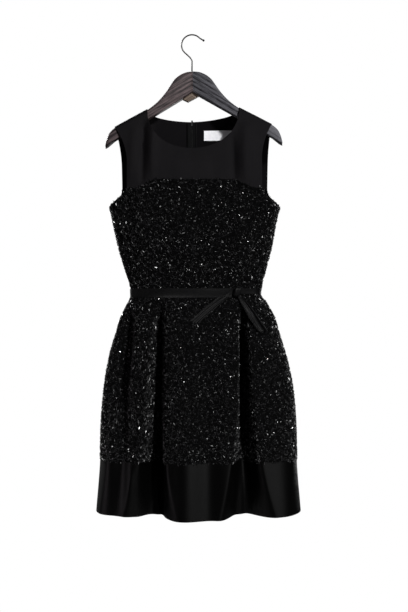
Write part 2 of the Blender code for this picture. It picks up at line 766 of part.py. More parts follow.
def make_hook(finish):
    """Make the hook as one swept wire that swells into a small ball at its tip."""
    route = hook_route()
    outward = unit(route[0] - route[1])
    stations = []
    for a in np.radians(HOOK_BALL_TURNS):
        stations.append((route[0] + outward * HOOK_BALL * math.cos(a), HOOK_BALL * math.sin(a)))
    stations.extend((point, HOOK_WIRE / 2) for point in route[1:])
    centres = [centre for centre, _ in stations]
    verts = []
    for i, (centre, radius) in enumerate(stations):
        along = unit(centres[min(i + 1, len(centres) - 1)] - centres[max(i - 1, 0)])
        for j in range(HOOK_SIDES):
            b = 2 * math.pi * j / HOOK_SIDES
            across = radius * math.cos(b)
            x = centre[0] - along[1] * across
            verts.append((x, radius * math.sin(b), centre[1] + along[0] * across))
    count = HOOK_SIDES
    faces = [tuple(range(count)), tuple(reversed(range(len(verts) - count, len(verts))))]
    for i in range(len(stations) - 1):
        for j in range(count):
            k = (j + 1) % count
            faces.append((i * count + j, (i + 1) * count + j, (i + 1) * count + k, i * count + k))
    new_object("hanger_hook", verts, faces, finish)


def back_inside(x, z, lift):
    """Return points on the inner face of the back, moved in by lift."""
    x, z = np.broadcast_arrays(np.asarray(x, float), np.asarray(z, float))
    on_yoke = z > BACK_SEAM_Z
    phi = angle_of_x(x, z)
    below = dress_point("back", phi, z, False)
    below_in = dress_normal("back", phi, z, False)
    above = np.stack([x, yoke_depth("back", x, z), z], axis=-1)
    step = 1.0
    slope_z = (yoke_depth("back", x, z + step) - yoke_depth("back", x, z - step)) / (2 * step)
    slope_x = (yoke_depth("back", x + step, z) - yoke_depth("back", x - step, z)) / (2 * step)
    above_in = unit(np.stack([-slope_x, 1 + 0 * x, -slope_z], axis=-1))
    point = np.where(on_yoke[..., None], above, below)
    normal = np.where(on_yoke[..., None], above_in, below_in)
    return point - normal * lift


def inside_strip(name, x_range, z_rows, x_cols, gap, thick, finish):
    """Make a strip that lies along the inner face of the back."""
    x = np.linspace(x_range[0], x_range[1], x_cols)[None, :]
    z = np.asarray(z_rows, float)[:, None]
    lift = WALL_EMBROIDERED + gap
    return wall_object(name, back_inside(x, z, lift), back_inside(x, z, lift + thick), finish)


def make_inside(crepe, white, metal):
    """Make the zip's tape, the label and the neck fastener inside the back."""
    inside_strip("zip_tape", (-ZIP_HALF, ZIP_HALF), ZIP_ROWS, 3, ZIP_TAPE_GAP, ZIP_THICK, crepe)
    label_x = (LABEL_LEFT, LABEL_LEFT + LABEL_WIDE)
    label_z = np.linspace(LABEL_TOP_Z - LABEL_TALL, LABEL_TOP_Z, 4)
    inside_strip("label", label_x, label_z, 6, LABEL_GAP, LABEL_THICK, white)
    hook_z = np.linspace(NECK_HOOK_LOW, NECK_HOOK_TOP, 3)
    hook_x = (-NECK_HOOK_HALF, NECK_HOOK_HALF)
    hook_gap = ZIP_TAPE_GAP + ZIP_THICK + SEAM
    inside_strip("neck_hook", hook_x, hook_z, 3, hook_gap, NECK_HOOK_THICK, metal)


def box_mesh(low, high):
    """Return points and faces of a box."""
    verts = [(x, y, z) for x in (low[0], high[0]) for y in (low[1], high[1]) for z in (low[2], high[2])]
    faces = [(0, 1, 3, 2), (4, 6, 7, 5), (0, 4, 5, 1), (2, 3, 7, 6), (0, 2, 6, 4), (1, 5, 7, 3)]
    return verts, faces


def pipe_mesh(radius, hole, half_long, sides=12):
    """Return points and faces of a rod along x, or of a sleeve when hole is set."""
    verts, faces = [], []
    for x in (-half_long, half_long):
        for r in ((radius,) if hole is None else (radius, hole)):
            for j in range(sides):
                a = 2 * math.pi * j / sides
                verts.append((x, r * math.cos(a), r * math.sin(a)))
    for j in range(sides):
        k = (j + 1) % sides
        if hole is None:
            faces.append((j, sides + j, sides + k, k))
        else:
            faces.append((j, 2 * sides + j, 2 * sides + k, k))
            faces.append((sides + j, sides + k, 3 * sides + k, 3 * sides + j))
            faces.append((j, k, sides + k, sides + j))
            faces.append((2 * sides + j, 3 * sides + j, 3 * sides + k, 2 * sides + k))
    if hole is None:
        faces.append(tuple(range(sides)))
        faces.append(tuple(range(2 * sides - 1, sides - 1, -1)))
    return verts, faces


def join_solid(obj, other):
    """Unite another solid with an object and leave it out of the build."""
    joined = obj.modifiers.new("join", "BOOLEAN")
    joined.operation = "UNION"
    joined.object = other
    other.hide_render = True
    other.display_type = "WIRE"
    other.hide_set(True)


def make_zip_pull(metal):
    """Make the slider on the outside of the back and the pull tab that turns on its pin."""
    place = bpy.data.objects.new("slider_place", None)
    bpy.context.scene.collection.objects.link(place)
    near = ZIP_SLIDER_Z + np.array([0.0, -SLIDER_HALF_TALL, SLIDER_HALF_TALL])
    y = yoke_depth("back", np.zeros(3), near)
    place.location = (0.0, y[0] * MM, ZIP_SLIDER_Z * MM)
    place.rotation_euler = (math.atan((y[1] - y[2]) / (2 * SLIDER_HALF_TALL)), 0.0, 0.0)
    top = ZIP_GAP + SLIDER_THICK
    plate_low = (-SLIDER_HALF, ZIP_GAP, -SLIDER_HALF_TALL)
    plate_high = (SLIDER_HALF, top, SLIDER_HALF_TALL)
    body = new_object("zip_slider", *box_mesh(plate_low, plate_high), metal)
    pin = new_object("slider_pin", *pipe_mesh(PIN_RADIUS, None, SLIDER_HALF + EAR_THICK / 5), metal)
    pin.location = (0.0, PIN_Y * MM, PIN_Z * MM)
    joined = [pin]
    for sign in (-1, 1):
        ear_low = (sign * SLIDER_HALF - EAR_THICK / 2, top - EAR_SINK, PIN_Z - EAR_HALF_TALL)
        ear_high = (sign * SLIDER_HALF + EAR_THICK / 2, PIN_Y + EAR_OVER_PIN, PIN_Z + EAR_HALF_TALL)
        joined.append(new_object(f"slider_ear_{sign + 1}", *box_mesh(ear_low, ear_high), metal))
    for piece in joined:
        join_solid(body, piece)
    sleeve = pipe_mesh(PIN_RADIUS + SLEEVE_WALL, PIN_RADIUS + SLEEVE_PLAY, SLEEVE_HALF)
    pull = new_object("zip_pull", *sleeve, metal)
    pull_low = (-SLEEVE_HALF, -PULL_THICK / 2, -PULL_LONG)
    pull_high = (SLEEVE_HALF, PULL_THICK / 2, -PIN_RADIUS - SLEEVE_PLAY - SEAM)
    plate = new_object("pull_plate", *box_mesh(pull_low, pull_high), metal)
    pull.location = pin.location
    plate.location = pin.location
    join_solid(pull, plate)
    for obj in (body, *joined, pull, plate):
        obj.parent = place


def main():
    for obj in list(bpy.data.objects):
        bpy.data.objects.remove(obj, do_unlink=True)
    crepe = material("crepe", (0.012, 0.012, 0.013), 0.75)
    beaded = material("beaded cloth", (0.010, 0.010, 0.011), 0.55)
    satin = material("satin", (0.008, 0.008, 0.009), 0.35)
    ribbon = material("ribbon", (0.014, 0.014, 0.016), 0.4)
    wood = material("stained wood", (0.05, 0.045, 0.045), 0.5)
    wire = material("dark wire", (0.03, 0.03, 0.032), 0.35, 1.0)
    black_metal = material("black metal", (0.02, 0.02, 0.02), 0.4, 1.0)
    white = material("white label", (0.8, 0.8, 0.8), 0.7)
    make_yoke(crepe)
    make_bodice(beaded)
    make_tube("skirt", (WAIST_Z - SEAM / 2, *SKIRT_ROWS, BAND_TOP_Z + SEAM / 2), WALL_EMBROIDERED, beaded)
    make_tube("band", np.linspace(BAND_TOP_Z - SEAM / 2, HEM_Z, BAND_ROWS), WALL_SATIN, satin)
    make_belt(ribbon)
    make_knot(ribbon)
    for row in TAILS:
        make_tail(row[0], row, ribbon)
    make_inside(crepe, white, black_metal)
    make_zip_pull(black_metal)
    make_arm("hanger_arm_left", -1, wood)
    make_arm("hanger_arm_right", 1, wood)
    make_hook(wire)


main()
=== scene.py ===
"""The looks of a sleeveless embroidered dress that hangs on a wooden hanger.

The shape functions are those of the dress's solids, in millimetres: +X is the right of
the front view, the dress faces -Y and +Z is up. Meshes are scaled to metres as they are
made. Here the same cloth is a fine shell with its soft creases, and the bodice and skirt
carry their beads and sequins.
"""

import json
import math

import bpy
import numpy as np
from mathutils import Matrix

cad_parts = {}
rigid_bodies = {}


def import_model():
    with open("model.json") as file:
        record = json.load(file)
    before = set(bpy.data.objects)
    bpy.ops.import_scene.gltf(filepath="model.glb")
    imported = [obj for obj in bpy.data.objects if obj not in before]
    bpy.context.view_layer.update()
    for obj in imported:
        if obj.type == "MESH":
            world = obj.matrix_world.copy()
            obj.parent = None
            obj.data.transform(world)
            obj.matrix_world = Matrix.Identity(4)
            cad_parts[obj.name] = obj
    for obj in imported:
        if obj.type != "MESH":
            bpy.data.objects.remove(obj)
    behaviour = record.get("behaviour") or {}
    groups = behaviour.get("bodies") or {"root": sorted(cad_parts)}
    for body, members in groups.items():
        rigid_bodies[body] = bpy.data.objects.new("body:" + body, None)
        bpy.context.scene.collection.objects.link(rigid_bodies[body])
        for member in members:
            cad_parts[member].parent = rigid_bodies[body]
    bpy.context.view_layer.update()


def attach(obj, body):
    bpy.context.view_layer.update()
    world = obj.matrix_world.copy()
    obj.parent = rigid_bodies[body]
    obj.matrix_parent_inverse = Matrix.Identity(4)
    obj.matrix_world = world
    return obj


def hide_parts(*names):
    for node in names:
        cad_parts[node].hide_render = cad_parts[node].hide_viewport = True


MM = 0.001

# Below zero, so that neighbouring panels lap by a hair and no light shows between them
SEAM = -0.06

# Walls of the shells made here, and those of the solids, whose outer faces they share
WALL_EMBROIDERED = 1.6
WALL_CREPE = 1.0
WALL_SATIN = 1.0
SOLID_EMBROIDERED = 2.0
SOLID_CREPE = 1.4
SHARP_CLOTH = math.radians(50)

# Heights of the main lines
NECK_Z = -171.0
SHOULDER_Z = -211.5
UNDERARM_Z = -398.0
ARMHOLE_TOP_Z = -344.0
WAIST_Z = -593.0
BAND_TOP_Z = -967.5
HEM_Z = -1088.0
HEM_DIP = 5.0

# Yoke plan
NECK_HALF = 105.0
SHOULDER_HALF = 179.0
SHOULDER_SLOPE = (NECK_Z - SHOULDER_Z) / (SHOULDER_HALF - NECK_HALF)
FRONT_ARMHOLE_HALF = 152.0
BACK_ARMHOLE_HALF = 170.0
ARMHOLE_FLARE = 84.0
UNDER_NECK_SHIFT = 4.0
YOKE_SEAM_Z = -339.0
YOKE_SEAM_DROP = 18.0
YOKE_SEAM_FLAT = 84.0
YOKE_SEAM_EASE = 52.0
BACK_SEAM_Z = -349.0
YOKE_DENT_EASE = 30.0
SHOULDER_COLS = 14
NECK_ANGLES = np.concatenate([[0, 0.7, 1.5, 2.6, 4, 6, 8, 11, 14.5], np.linspace(18, 90, 27)])
NECK_SQUARE = {"front": 2.15, "back": 2.0}
NECK_DROP = {"front": 96.0, "back": 23.5}

# Hanger
LEAN = 0.018
LEAN_SHIFT = -LEAN * NECK_Z
ARM_THICK = 20.0
ARM_SWEEP = 24.0
ARM_REACH = 200.0
ARM_CLEARANCE = 1.0
ARM_RISE = 0.78
ARM_RISE_WIDE = 16.0
FOLD_RADIUS = ARM_THICK / 2 + ARM_CLEARANCE + SOLID_CREPE
ARM_TOP = ((0, -83), (12, -84.5), (25, -89.5), (41, -101.5), (52, -117), (62, -132), (81, -154),
           (105, -173.3), (179, -213.8), (192, -226), (198, -239), (201, -252))
ARM_LOW = ((0, -127.5), (180, -239.5), (194, -251.5), (201, -256))
ARM_TIP = 201.0
ARM_TIP_EASE = 20.0
ARM_STEPS = (59, 17)
ARM_ROUND_POINTS = 15
ARM_TAPERS = ((0, 179, 192, 198, ARM_TIP), (1, 1, 0.95, 0.8, 0.55))
ARM_EDGE = 2.5
ARM_EDGE_CUT = 0.7
ARM_UNDERSIDE_FALL = 5.0
ARM_FACE_FALL = 4.0
ARM_JOINT_HALF = 0.06
SHARP_WOOD = math.radians(38)
UNDERSIDE_DROP = 0.1275
UNDERSIDE_SLOPE = 0.622
BLOCK_FACE = ((-27, -146.5), (-12, -153.5), (15, -139), (1, -128))
BLOCK_BEVEL = 1.2
BLOCK_DEPTHS = (-5.0, -4.0, 7.0, 8.0)

# Belt
BELT_TOP_Z = -582.5
BELT_LOW_Z = -603.5
BELT_GAP = 0.5
BELT_THICK = 1.2
BELT_INNER = 0.3
BELT_EDGE_TURN = 0.35
BELT_WAVE = 0.5
BELT_WAVE_LONG = 31.0
KNOT_X = 101.5
KNOT_Z = -590.5
KNOT_HALF_WIDE = 9.5
KNOT_HALF_DEEP = 6.0
KNOT_HALF_TALL = 11.0
BELT_DRAWN = 8.5
BELT_DRAWN_FROM = {"front": (KNOT_X, 9.0), "back": (40.0, 90.0)}
TAIL_GAP = 2.4
TAIL_THICK = 0.8
TAIL_WAVE = 0.45
TAIL_COLUMNS = ("name", "x_start", "z_start", "x_end", "z_end", "wide_start", "wide_end", "bow",
                "slant", "puff", "curl")
TAILS = (
    ("belt_tail_left", 94, -588, 6, -659, 12, 16, -2, -11, 3, 0),
    ("belt_tail_right", 103, -596, 156, -680, 8, 16, -2, 9, 4, 4),
)
# Height, place across the ribbon and half width of a tail's two lengthwise rolls
TAIL_ROLLS = ((2.2, 0.40, 0.09), (1.1, -0.43, 0.08))

# Zip and label
ZIP_HALF = 11.5
ZIP_THICK = 0.8
ZIP_TAPE_GAP = 0.9
ZIP_LOW_Z = -640.0
ZIP_TOP_Z = -196.5
ZIP_CORD_X = 9.3
ZIP_CORD_HALF = 1.1
ZIP_CORD_TALL = 1.1
TOOTH_PITCH = 1.6
TOOTH_X = 0.9
TOOTH_LIFT = 0.25
TOOTH_HALF = (1.7, 0.55, 0.6)
TOOTH_TONE = 0.3
LABEL_LEFT = 28.0
LABEL_WIDE = 66.0
LABEL_TALL = 22.0
LABEL_TOP_Z = -214.0
LABEL_THICK = 0.6
LABEL_GAP = -0.2

# Hook
HOOK_WIRE = 3.2
HOOK_RADIUS = 24.0
HOOK_CENTRE_Z = -HOOK_RADIUS + HOOK_WIRE / 2
HOOK_TIP = (26.6, -11.5)
HOOK_START = 42
HOOK_END = 212
HOOK_NECK_Z = -60.0
HOOK_FOOT_Z = -82.4
HOOK_EASE = 9.0
HOOK_BALL = 2.6
HOOK_BALL_RINGS = 12
HOOK_STEM = 8.0
HOOK_ARC_POINTS = 60
HOOK_LEAD_POINTS = 24
HOOK_SIDES = 16

SECTION_COLUMNS = ("z", "mid", "half", "front", "back", "square")
SECTIONS = (
    (-320, 6, 204, 65, 58, 2.8),
    (-400, 6, 195, 73, 62, 2.6),
    (-412, 6, 191, 74, 62, 2.6),
    (-447, 6, 184, 75, 62, 2.5),
    (-490, 7, 175, 70, 60, 2.4),
    (-540, 8, 161, 60, 54, 2.3),
    (-576, 9, 151, 54, 50, 2.3),
    (-597, 9, 149, 53, 49, 2.3),
    (-613, 12, 158, 57, 53, 2.3),
    (-650, 13, 177, 68, 62, 2.4),
    (-687, 13, 188, 78, 70, 2.4),
    (-723, 13, 199, 87, 76, 2.5),
    (-760, 14, 208, 93, 82, 2.5),
    (-815, 15, 217, 100, 88, 2.5),
    (-890, 15, 223, 105, 94, 2.6),
    (-968, 15, 225, 109, 99, 2.6),
    (-1088, 15, 234, 114, 105, 2.6),
)
FOLD_COLUMNS = ("side", "x_top", "x_hem", "wide_top", "wide_hem", "deep_hip", "deep_hem",
                "start_z", "full_z")
FOLDS = (
    ("front", -78, -94, 15, 66, 50, 64, -605, -720),
    ("front", 115, 123, 14, 66, 54, 82, -605, -720),
    ("front", -136, -166, 17, 42, 13, 24, -605, -690),
    ("back", -72, -86, 14, 60, 34, 46, -605, -720),
    ("back", 92, 116, 14, 60, 34, 46, -605, -720),
)
FRONT_PLEATS = FOLDS[0:2]
BACK_PLEATS = FOLDS[3:5]

# Soft creases: where each starts and ends, how far its middle bows, its half width and
# its depth, which is negative for a ridge
CREASE_COLUMNS = ("side", "x_start", "z_start", "x_end", "z_end", "bow", "wide", "deep")
CREASES = (
    ("front", -107, -172, -111, -352, 2, 12, 10.0),
    ("front", -84, -178, -88, -345, 2, 15, -6.0),
    ("front", -132, -205, -140, -350, -2, 14, -2.5),
    ("front", 91, -226, 96, -366, 0, 12, 5.0),
    ("front", 120, -206, 124, -372, 0, 24, -13.0),
    ("front", 152, -262, 150, -330, 0, 4, 1.4),
    ("front", -18, -275, -34, -345, 2, 20, -1.6),
    ("front", 42, -280, 52, -345, -2, 18, 1.3),
    ("front", 106, -338, 112, -585, 4, 28, -5.0),
    ("front", 70, -352, 76, -560, -3, 26, 3.6),
    ("front", -152, -368, -130, -450, 4, 15, 9.0),
    ("front", -118, -360, -112, -580, -5, 24, -3.6),
    ("front", -70, -400, -60, -582, 5, 20, 3.4),
    ("front", -20, -372, -12, -560, 2, 26, -2.2),
    ("front", 34, -430, 30, -583, 2, 18, 2.4),
    ("front", 150, -420, 128, -560, -3, 14, 3.0),
    ("front", -14, -612, -15, -1330, 0, 38, -10.0),
    ("front", 40, -720, 43, -1330, 0, 32, 7.0),
    ("front", -84, -620, -144, -1330, 0, 11, -9.0),
    ("front", -70, -596, -72, -1130, 2, 15, 40.0),
    ("front", 118, -900, 121, -1150, 0, 22, -21.0),
    ("front", 52, -615, 58, -900, 4, 22, 3.5),
    ("front", -155, -598, -178, -900, -2, 27, 32.0),
    ("front", -104, -640, -138, -960, 3, 20, -4.0),
    ("front", 160, -640, 176, -960, -4, 24, -4.0),
    ("front", 203, -720, 214, -1330, 0, 32, -5.0),
    ("front", -163, -820, -168, -1330, 0, 38, -14.0),
    ("back", -104, -178, -110, -360, 2, 14, 3.6),
    ("back", 100, -182, 108, -360, 0, 15, 4.0),
    ("back", -64, -250, -70, -348, 3, 20, -1.8),
    ("back", 66, -240, 58, -350, -3, 22, -1.8),
    ("back", -112, -372, -98, -584, 3, 24, -3.8),
    ("back", 118, -366, 104, -580, -3, 24, -3.4),
    ("back", -56, -420, -50, -584, 3, 18, 3.4),
    ("back", 60, -410, 54, -584, -3, 20, 3.0),
    ("back", 150, -390, 132, -470, -2, 15, 4.6),
    ("back", -18, -640, -24, -1110, 3, 26, -3.4),
    ("back", 40, -630, 42, -1110, -3, 28, -3.8),
    ("back", -156, -640, -178, -1110, 4, 22, -4.2),
    ("back", 170, -660, 186, -1110, -4, 24, -4.4),
    ("back", 8, -700, 10, -1110, 0, 20, 3.2),
)
CALM_HALF = 13.0
CALM_EASE = 22.0
OUTLINE_EASE = 15.0
CREASE_END_WIDE = 0.75
CREASE_SWELL = 0.7


def read_table(rows, columns):
    """Return a table as named columns of numbers."""
    return {name: np.array([row[i] for row in rows], float) for i, name in enumerate(columns)}


def slopes(z, v):
    """Return slopes at the table's points that let a cubic pass without overshoot."""
    step = np.diff(z)
    rise = np.diff(v) / step
    out = np.zeros_like(v)
    out[0] = rise[0]
    out[-1] = rise[-1]
    for i in range(1, len(v) - 1):
        a, b = rise[i - 1], rise[i]
        if a * b > 0:
            w1 = 2 * step[i] + step[i - 1]
            w2 = step[i] + 2 * step[i - 1]
            out[i] = (w1 + w2) / (w1 / a + w2 / b)
    return out


def smooth_column(z_knots, values):
    """Return a function that reads one column of a table at any height."""
    order = np.argsort(z_knots)
    zk = z_knots[order]
    vk = values[order]
    mk = slopes(zk, vk)

    def at(z):
        z = np.clip(z, zk[0], zk[-1])
        i = np.clip(np.searchsorted(zk, z) - 1, 0, len(zk) - 2)
        h = zk[i + 1] - zk[i]
        t = (z - zk[i]) / h
        low = (1 + 2 * t) * (1 - t) ** 2 * vk[i] + t * (1 - t) ** 2 * h * mk[i]
        high = t * t * (3 - 2 * t) * vk[i + 1] + t * t * (t - 1) * h * mk[i + 1]
        return low + high

    return at


TABLE = read_table(SECTIONS, SECTION_COLUMNS)
SECTION = {name: smooth_column(TABLE["z"], TABLE[name]) for name in SECTION_COLUMNS[1:]}


def smoothstep(t):
    t = np.clip(t, 0.0, 1.0)
    return t * t * (3 - 2 * t)


def unit(v):
    return v / np.linalg.norm(v, axis=-1, keepdims=True)


def outward(side):
    return -1.0 if side == "front" else 1.0


def angle_of_x(x, z):
    """Return phi of the point of the closed section at height z that lies at x."""
    n = SECTION["square"](z)
    across = np.clip((SECTION["mid"](z) - x) / SECTION["half"](z), -1, 1)
    deep = (1 - np.abs(across) ** n) ** (1 / n)
    return np.arctan2(deep, across)


def section_point(side, phi, z):
    """Return x, y and the outward normal of the closed section, without folds."""
    n = SECTION["square"](z)
    half = SECTION["half"](z)
    depth = SECTION[side](z)
    c = np.cos(phi)
    s = np.sin(phi)
    reach = (np.abs(c) ** n + np.abs(s) ** n) ** (1 / n)
    across = c / reach
    deep = s / reach
    x = SECTION["mid"](z) - half * across
    y = outward(side) * depth * deep
    nx = -np.sign(across) * np.abs(across) ** (n - 1) / half
    ny = outward(side) * np.abs(deep) ** (n - 1) / depth
    size = np.sqrt(nx * nx + ny * ny)
    return x, y, nx / size, ny / size


def fold_line(row, z):
    """Return the x, half width and depth of a fold at height z."""
    fold = dict(zip(FOLD_COLUMNS, row))
    down = np.clip((fold["start_z"] - z) / (fold["start_z"] - HEM_Z), 0, 1.1)
    x = fold["x_top"] + (fold["x_hem"] - fold["x_top"]) * down
    wide = fold["wide_top"] + (fold["wide_hem"] - fold["wide_top"]) * down ** 3
    opened = smoothstep((fold["start_z"] - z) / (fold["start_z"] - fold["full_z"]))
    deep = opened * (fold["deep_hip"] + (fold["deep_hem"] - fold["deep_hip"]) * down ** 2)
    return x, wide, deep


def fold_depth(side, x, z):
    """Return how far the folds of one side carry the cloth in."""
    total = np.zeros(np.broadcast(x, z).shape)
    for row in FOLDS:
        if row[0] == side:
            fold_x, wide, deep = fold_line(row, z)
            t = np.clip((x - fold_x) / wide, -1, 1)
            total = total + deep * (0.5 + 0.5 * np.cos(math.pi * t))
    return total


def relief(side, x, z):
    """Return how far the soft creases carry the cloth in, calm under the belt and at the sides."""
    total = np.zeros(np.broadcast(x, z).shape)
    for row in CREASES:
        if row[0] != side:
            continue
        crease = dict(zip(CREASE_COLUMNS, row))
        dx = crease["x_end"] - crease["x_start"]
        dz = crease["z_end"] - crease["z_start"]
        long = math.hypot(dx, dz)
        from_x = x - crease["x_start"]
        from_z = z - crease["z_start"]
        t = np.clip((from_x * dx + from_z * dz) / long ** 2, 0, 1)
        swell = np.sin(math.pi * t)
        away = (from_x * dz - from_z * dx) / long - crease["bow"] * swell
        wide = crease["wide"] * (CREASE_END_WIDE + (1 - CREASE_END_WIDE) * swell)
        total = total + crease["deep"] * swell ** CREASE_SWELL * np.exp(-2 * (away / wide) ** 2)
    inside = SECTION["half"](z) - np.abs(x - SECTION["mid"](z))
    total = total * smoothstep(inside / OUTLINE_EASE)
    return total * smoothstep((np.abs(z - WAIST_Z) - CALM_HALF) / CALM_EASE)


def hem_dip(side, phi, z):
    """Return how far the middle of the front hangs below the level line at the hem."""
    if side == "back":
        return 0.0 * phi
    share = np.clip((BAND_TOP_Z - z) / (BAND_TOP_Z - HEM_Z), 0, 1.2)
    return HEM_DIP * share * np.sin(phi) ** 4


def dress_point(side, phi, z, folded=True):
    """Return points of the outer face of the dress below the yoke."""
    phi, z = np.broadcast_arrays(np.asarray(phi, float), np.asarray(z, float))
    x, y, nx, ny = section_point(side, phi, z)
    deep = fold_depth(side, x, z) + relief(side, x, z) if folded else 0.0
    return np.stack([x - nx * deep, y - ny * deep, z - hem_dip(side, phi, z)], axis=-1)


def dress_normal(side, phi, z, folded=True):
    """Return outward normals of the dress from small steps along its face."""
    step_phi = 0.002
    step_z = 0.5
    along = (dress_point(side, phi + step_phi, z, folded)
             - dress_point(side, phi - step_phi, z, folded))
    up = dress_point(side, phi, z + step_z, folded) - dress_point(side, phi, z - step_z, folded)
    return -outward(side) * unit(np.cross(along, up))


def side_angle(z):
    """Return the small angle by which the panels lap at the side seam."""
    return SEAM / (SECTION["front"](z) + SECTION["back"](z))


def centre_phi(z):
    """Return phi of the centre back, which lies at x = 0."""
    return angle_of_x(0.0 * z, z)


def before_centre(z):
    return centre_phi(z) - SEAM / 2 / SECTION["half"](z)


def after_centre(z):
    return centre_phi(z) + SEAM / 2 / SECTION["half"](z)


def right_seam(z):
    return math.pi - side_angle(z)


def seam_height(side, x):
    """Return the height of the seam between yoke and bodice."""
    if side == "back":
        return BACK_SEAM_Z + 0.0 * x
    away = np.abs(x - SECTION["mid"](YOKE_SEAM_Z)) - YOKE_SEAM_FLAT
    return YOKE_SEAM_Z - YOKE_SEAM_DROP * smoothstep(away / YOKE_SEAM_EASE)


def armhole_half(side):
    return FRONT_ARMHOLE_HALF if side == "front" else BACK_ARMHOLE_HALF


def armhole_edge(side, r):
    """Return phi and height along the bodice's armhole, from underarm, 0, to yoke seam, 1."""
    x = SECTION["mid"](YOKE_SEAM_Z) - armhole_half(side)
    top = float(seam_height(side, np.array(x))) - SEAM / 2
    tall = ARMHOLE_TOP_Z - UNDERARM_Z
    end = math.acos(min(1.0, (ARMHOLE_TOP_Z - top) / tall))
    a = end * np.asarray(r, float)
    z = ARMHOLE_TOP_Z - tall * np.cos(a)
    reach = float(angle_of_x(np.array(x), np.array(top)))
    base = side_angle(z)
    return base + (reach - base) * np.sin(a) / math.sin(end), z


def arm_middle(x):
    """Return y of the middle of the hanger's arms, which sweep forward to their tips."""
    return -ARM_SWEEP * np.sin(math.pi / 2 * np.clip(np.abs(x) / ARM_REACH, 0, 1.2))


def shoulder_line(x):
    """Return the height of the shoulder seam, which rises a little past the neck with the arm."""
    across = x - LEAN_SHIFT
    beyond = np.abs(across) - NECK_HALF
    past_neck = ARM_RISE * np.clip(-beyond, 0, ARM_RISE_WIDE)
    return NECK_Z - SHOULDER_SLOPE * np.clip(beyond, 0, None) + past_neck + LEAN * across


def yoke_depth(side, x, z):
    """Return y of the yoke: over the arm's round top, then down to the bodice."""
    drop = np.clip(shoulder_line(x) - z, 0, None)
    bend = np.sqrt(1 - (1 - np.clip(drop / FOLD_RADIUS, 0, 1)) ** 2)
    seam_z = seam_height(side, x)
    seam_y = section_point(side, angle_of_x(x, seam_z), seam_z)[1]
    start_y = arm_middle(x) + outward(side) * FOLD_RADIUS
    share = np.clip(drop / (shoulder_line(x) - seam_z), 0, 1)
    fall = share * (1.5 - 0.5 * share)
    over = outward(side) * (FOLD_RADIUS * bend + SEAM / 2)
    dent = relief(side, x, z) * smoothstep((drop - FOLD_RADIUS) / YOKE_DENT_EASE)
    return arm_middle(x) + over + (seam_y - start_y) * fall - outward(side) * dent


def neck_curve(side):
    """Return x and z of the left half of the neckline, from the shoulder to the middle."""
    a = np.radians(NECK_ANGLES)
    n = NECK_SQUARE[side]
    c = np.clip(np.cos(a), 0, None)
    reach = (c ** n + np.sin(a) ** n) ** (1 / n)
    return -NECK_HALF * c / reach, NECK_Z - NECK_DROP[side] * np.sin(a) / reach


def yoke_top(side, part):
    """Return x and z of a yoke piece's top edge, from left to right, leaned with the hanger."""
    x = -SHOULDER_HALF + (SHOULDER_HALF - NECK_HALF) * np.arange(SHOULDER_COLS) / SHOULDER_COLS
    shoulder = np.stack([x, NECK_Z + SHOULDER_SLOPE * (NECK_HALF + x)], axis=1)
    left = np.concatenate([shoulder, np.stack(neck_curve(side), axis=1)])
    right = left[::-1] * np.array([-1.0, 1.0])
    if part == "front":
        edge = np.concatenate([left, right[1:]])
    else:
        edge = left if part == "left" else right
    edge = np.stack([edge[:, 0] + LEAN_SHIFT, edge[:, 1] + LEAN * edge[:, 0]], axis=1)
    if part == "left":
        edge[-1, 0] = -SEAM / 2
    elif part == "right":
        edge[0, 0] = SEAM / 2
    return edge


def yoke_bottom(side, part):
    """Return x of a yoke piece's lower edge, under the same columns as its top edge."""
    mid = float(SECTION["mid"](YOKE_SEAM_Z))
    outer = armhole_half(side)
    under_neck = NECK_HALF - UNDER_NECK_SHIFT
    x = neck_curve(side)[0]
    even = np.linspace(0, 1, len(x))
    share = 0.5 * even + 0.5 * (1 + x / NECK_HALF)
    centre = 0.0 if part != "front" else mid

    def half_edge(sign):
        inner = mid + sign * under_neck
        under_shoulder = np.linspace(mid + sign * outer, inner, SHOULDER_COLS + 1)[:-1]
        return np.concatenate([under_shoulder, inner + (centre - mid - sign * under_neck) * share])

    left = half_edge(-1)
    right = half_edge(1)[::-1]
    if part == "left":
        left[-1] = -SEAM / 2
        return left
    if part == "right":
        right[0] = SEAM / 2
        return right
    return np.concatenate([left, right[1:]])


def armhole_bow(z, top_z, low_z):
    """Return how far the armhole edge lies outside a straight line to the shoulder, as a share."""
    along = (top_z - z) / (top_z - low_z)
    flare = np.clip((z - (top_z - ARMHOLE_FLARE)) / ARMHOLE_FLARE, 0, 1) ** 2
    return flare - (1 - along)


def spread(knots, counts):
    """Return columns of numbers between knots, with a count of steps for each stretch."""
    parts = []
    for low, high, count in zip(knots[:-1], knots[1:], counts):
        t = np.linspace(0, 1, count + 1)[:-1]
        parts.append(low[:, None] + (high - low)[:, None] * t[None, :])
    parts.append(knots[-1][:, None])
    return np.concatenate(parts, axis=1)


def between(stops, counts):
    """Return numbers from stop to stop, with a count of steps for each stretch."""
    parts = [np.linspace(a, b, n + 1)[:-1] for a, b, n in zip(stops[:-1], stops[1:], counts)]
    return np.concatenate([*parts, [stops[-1]]])


# Meshes


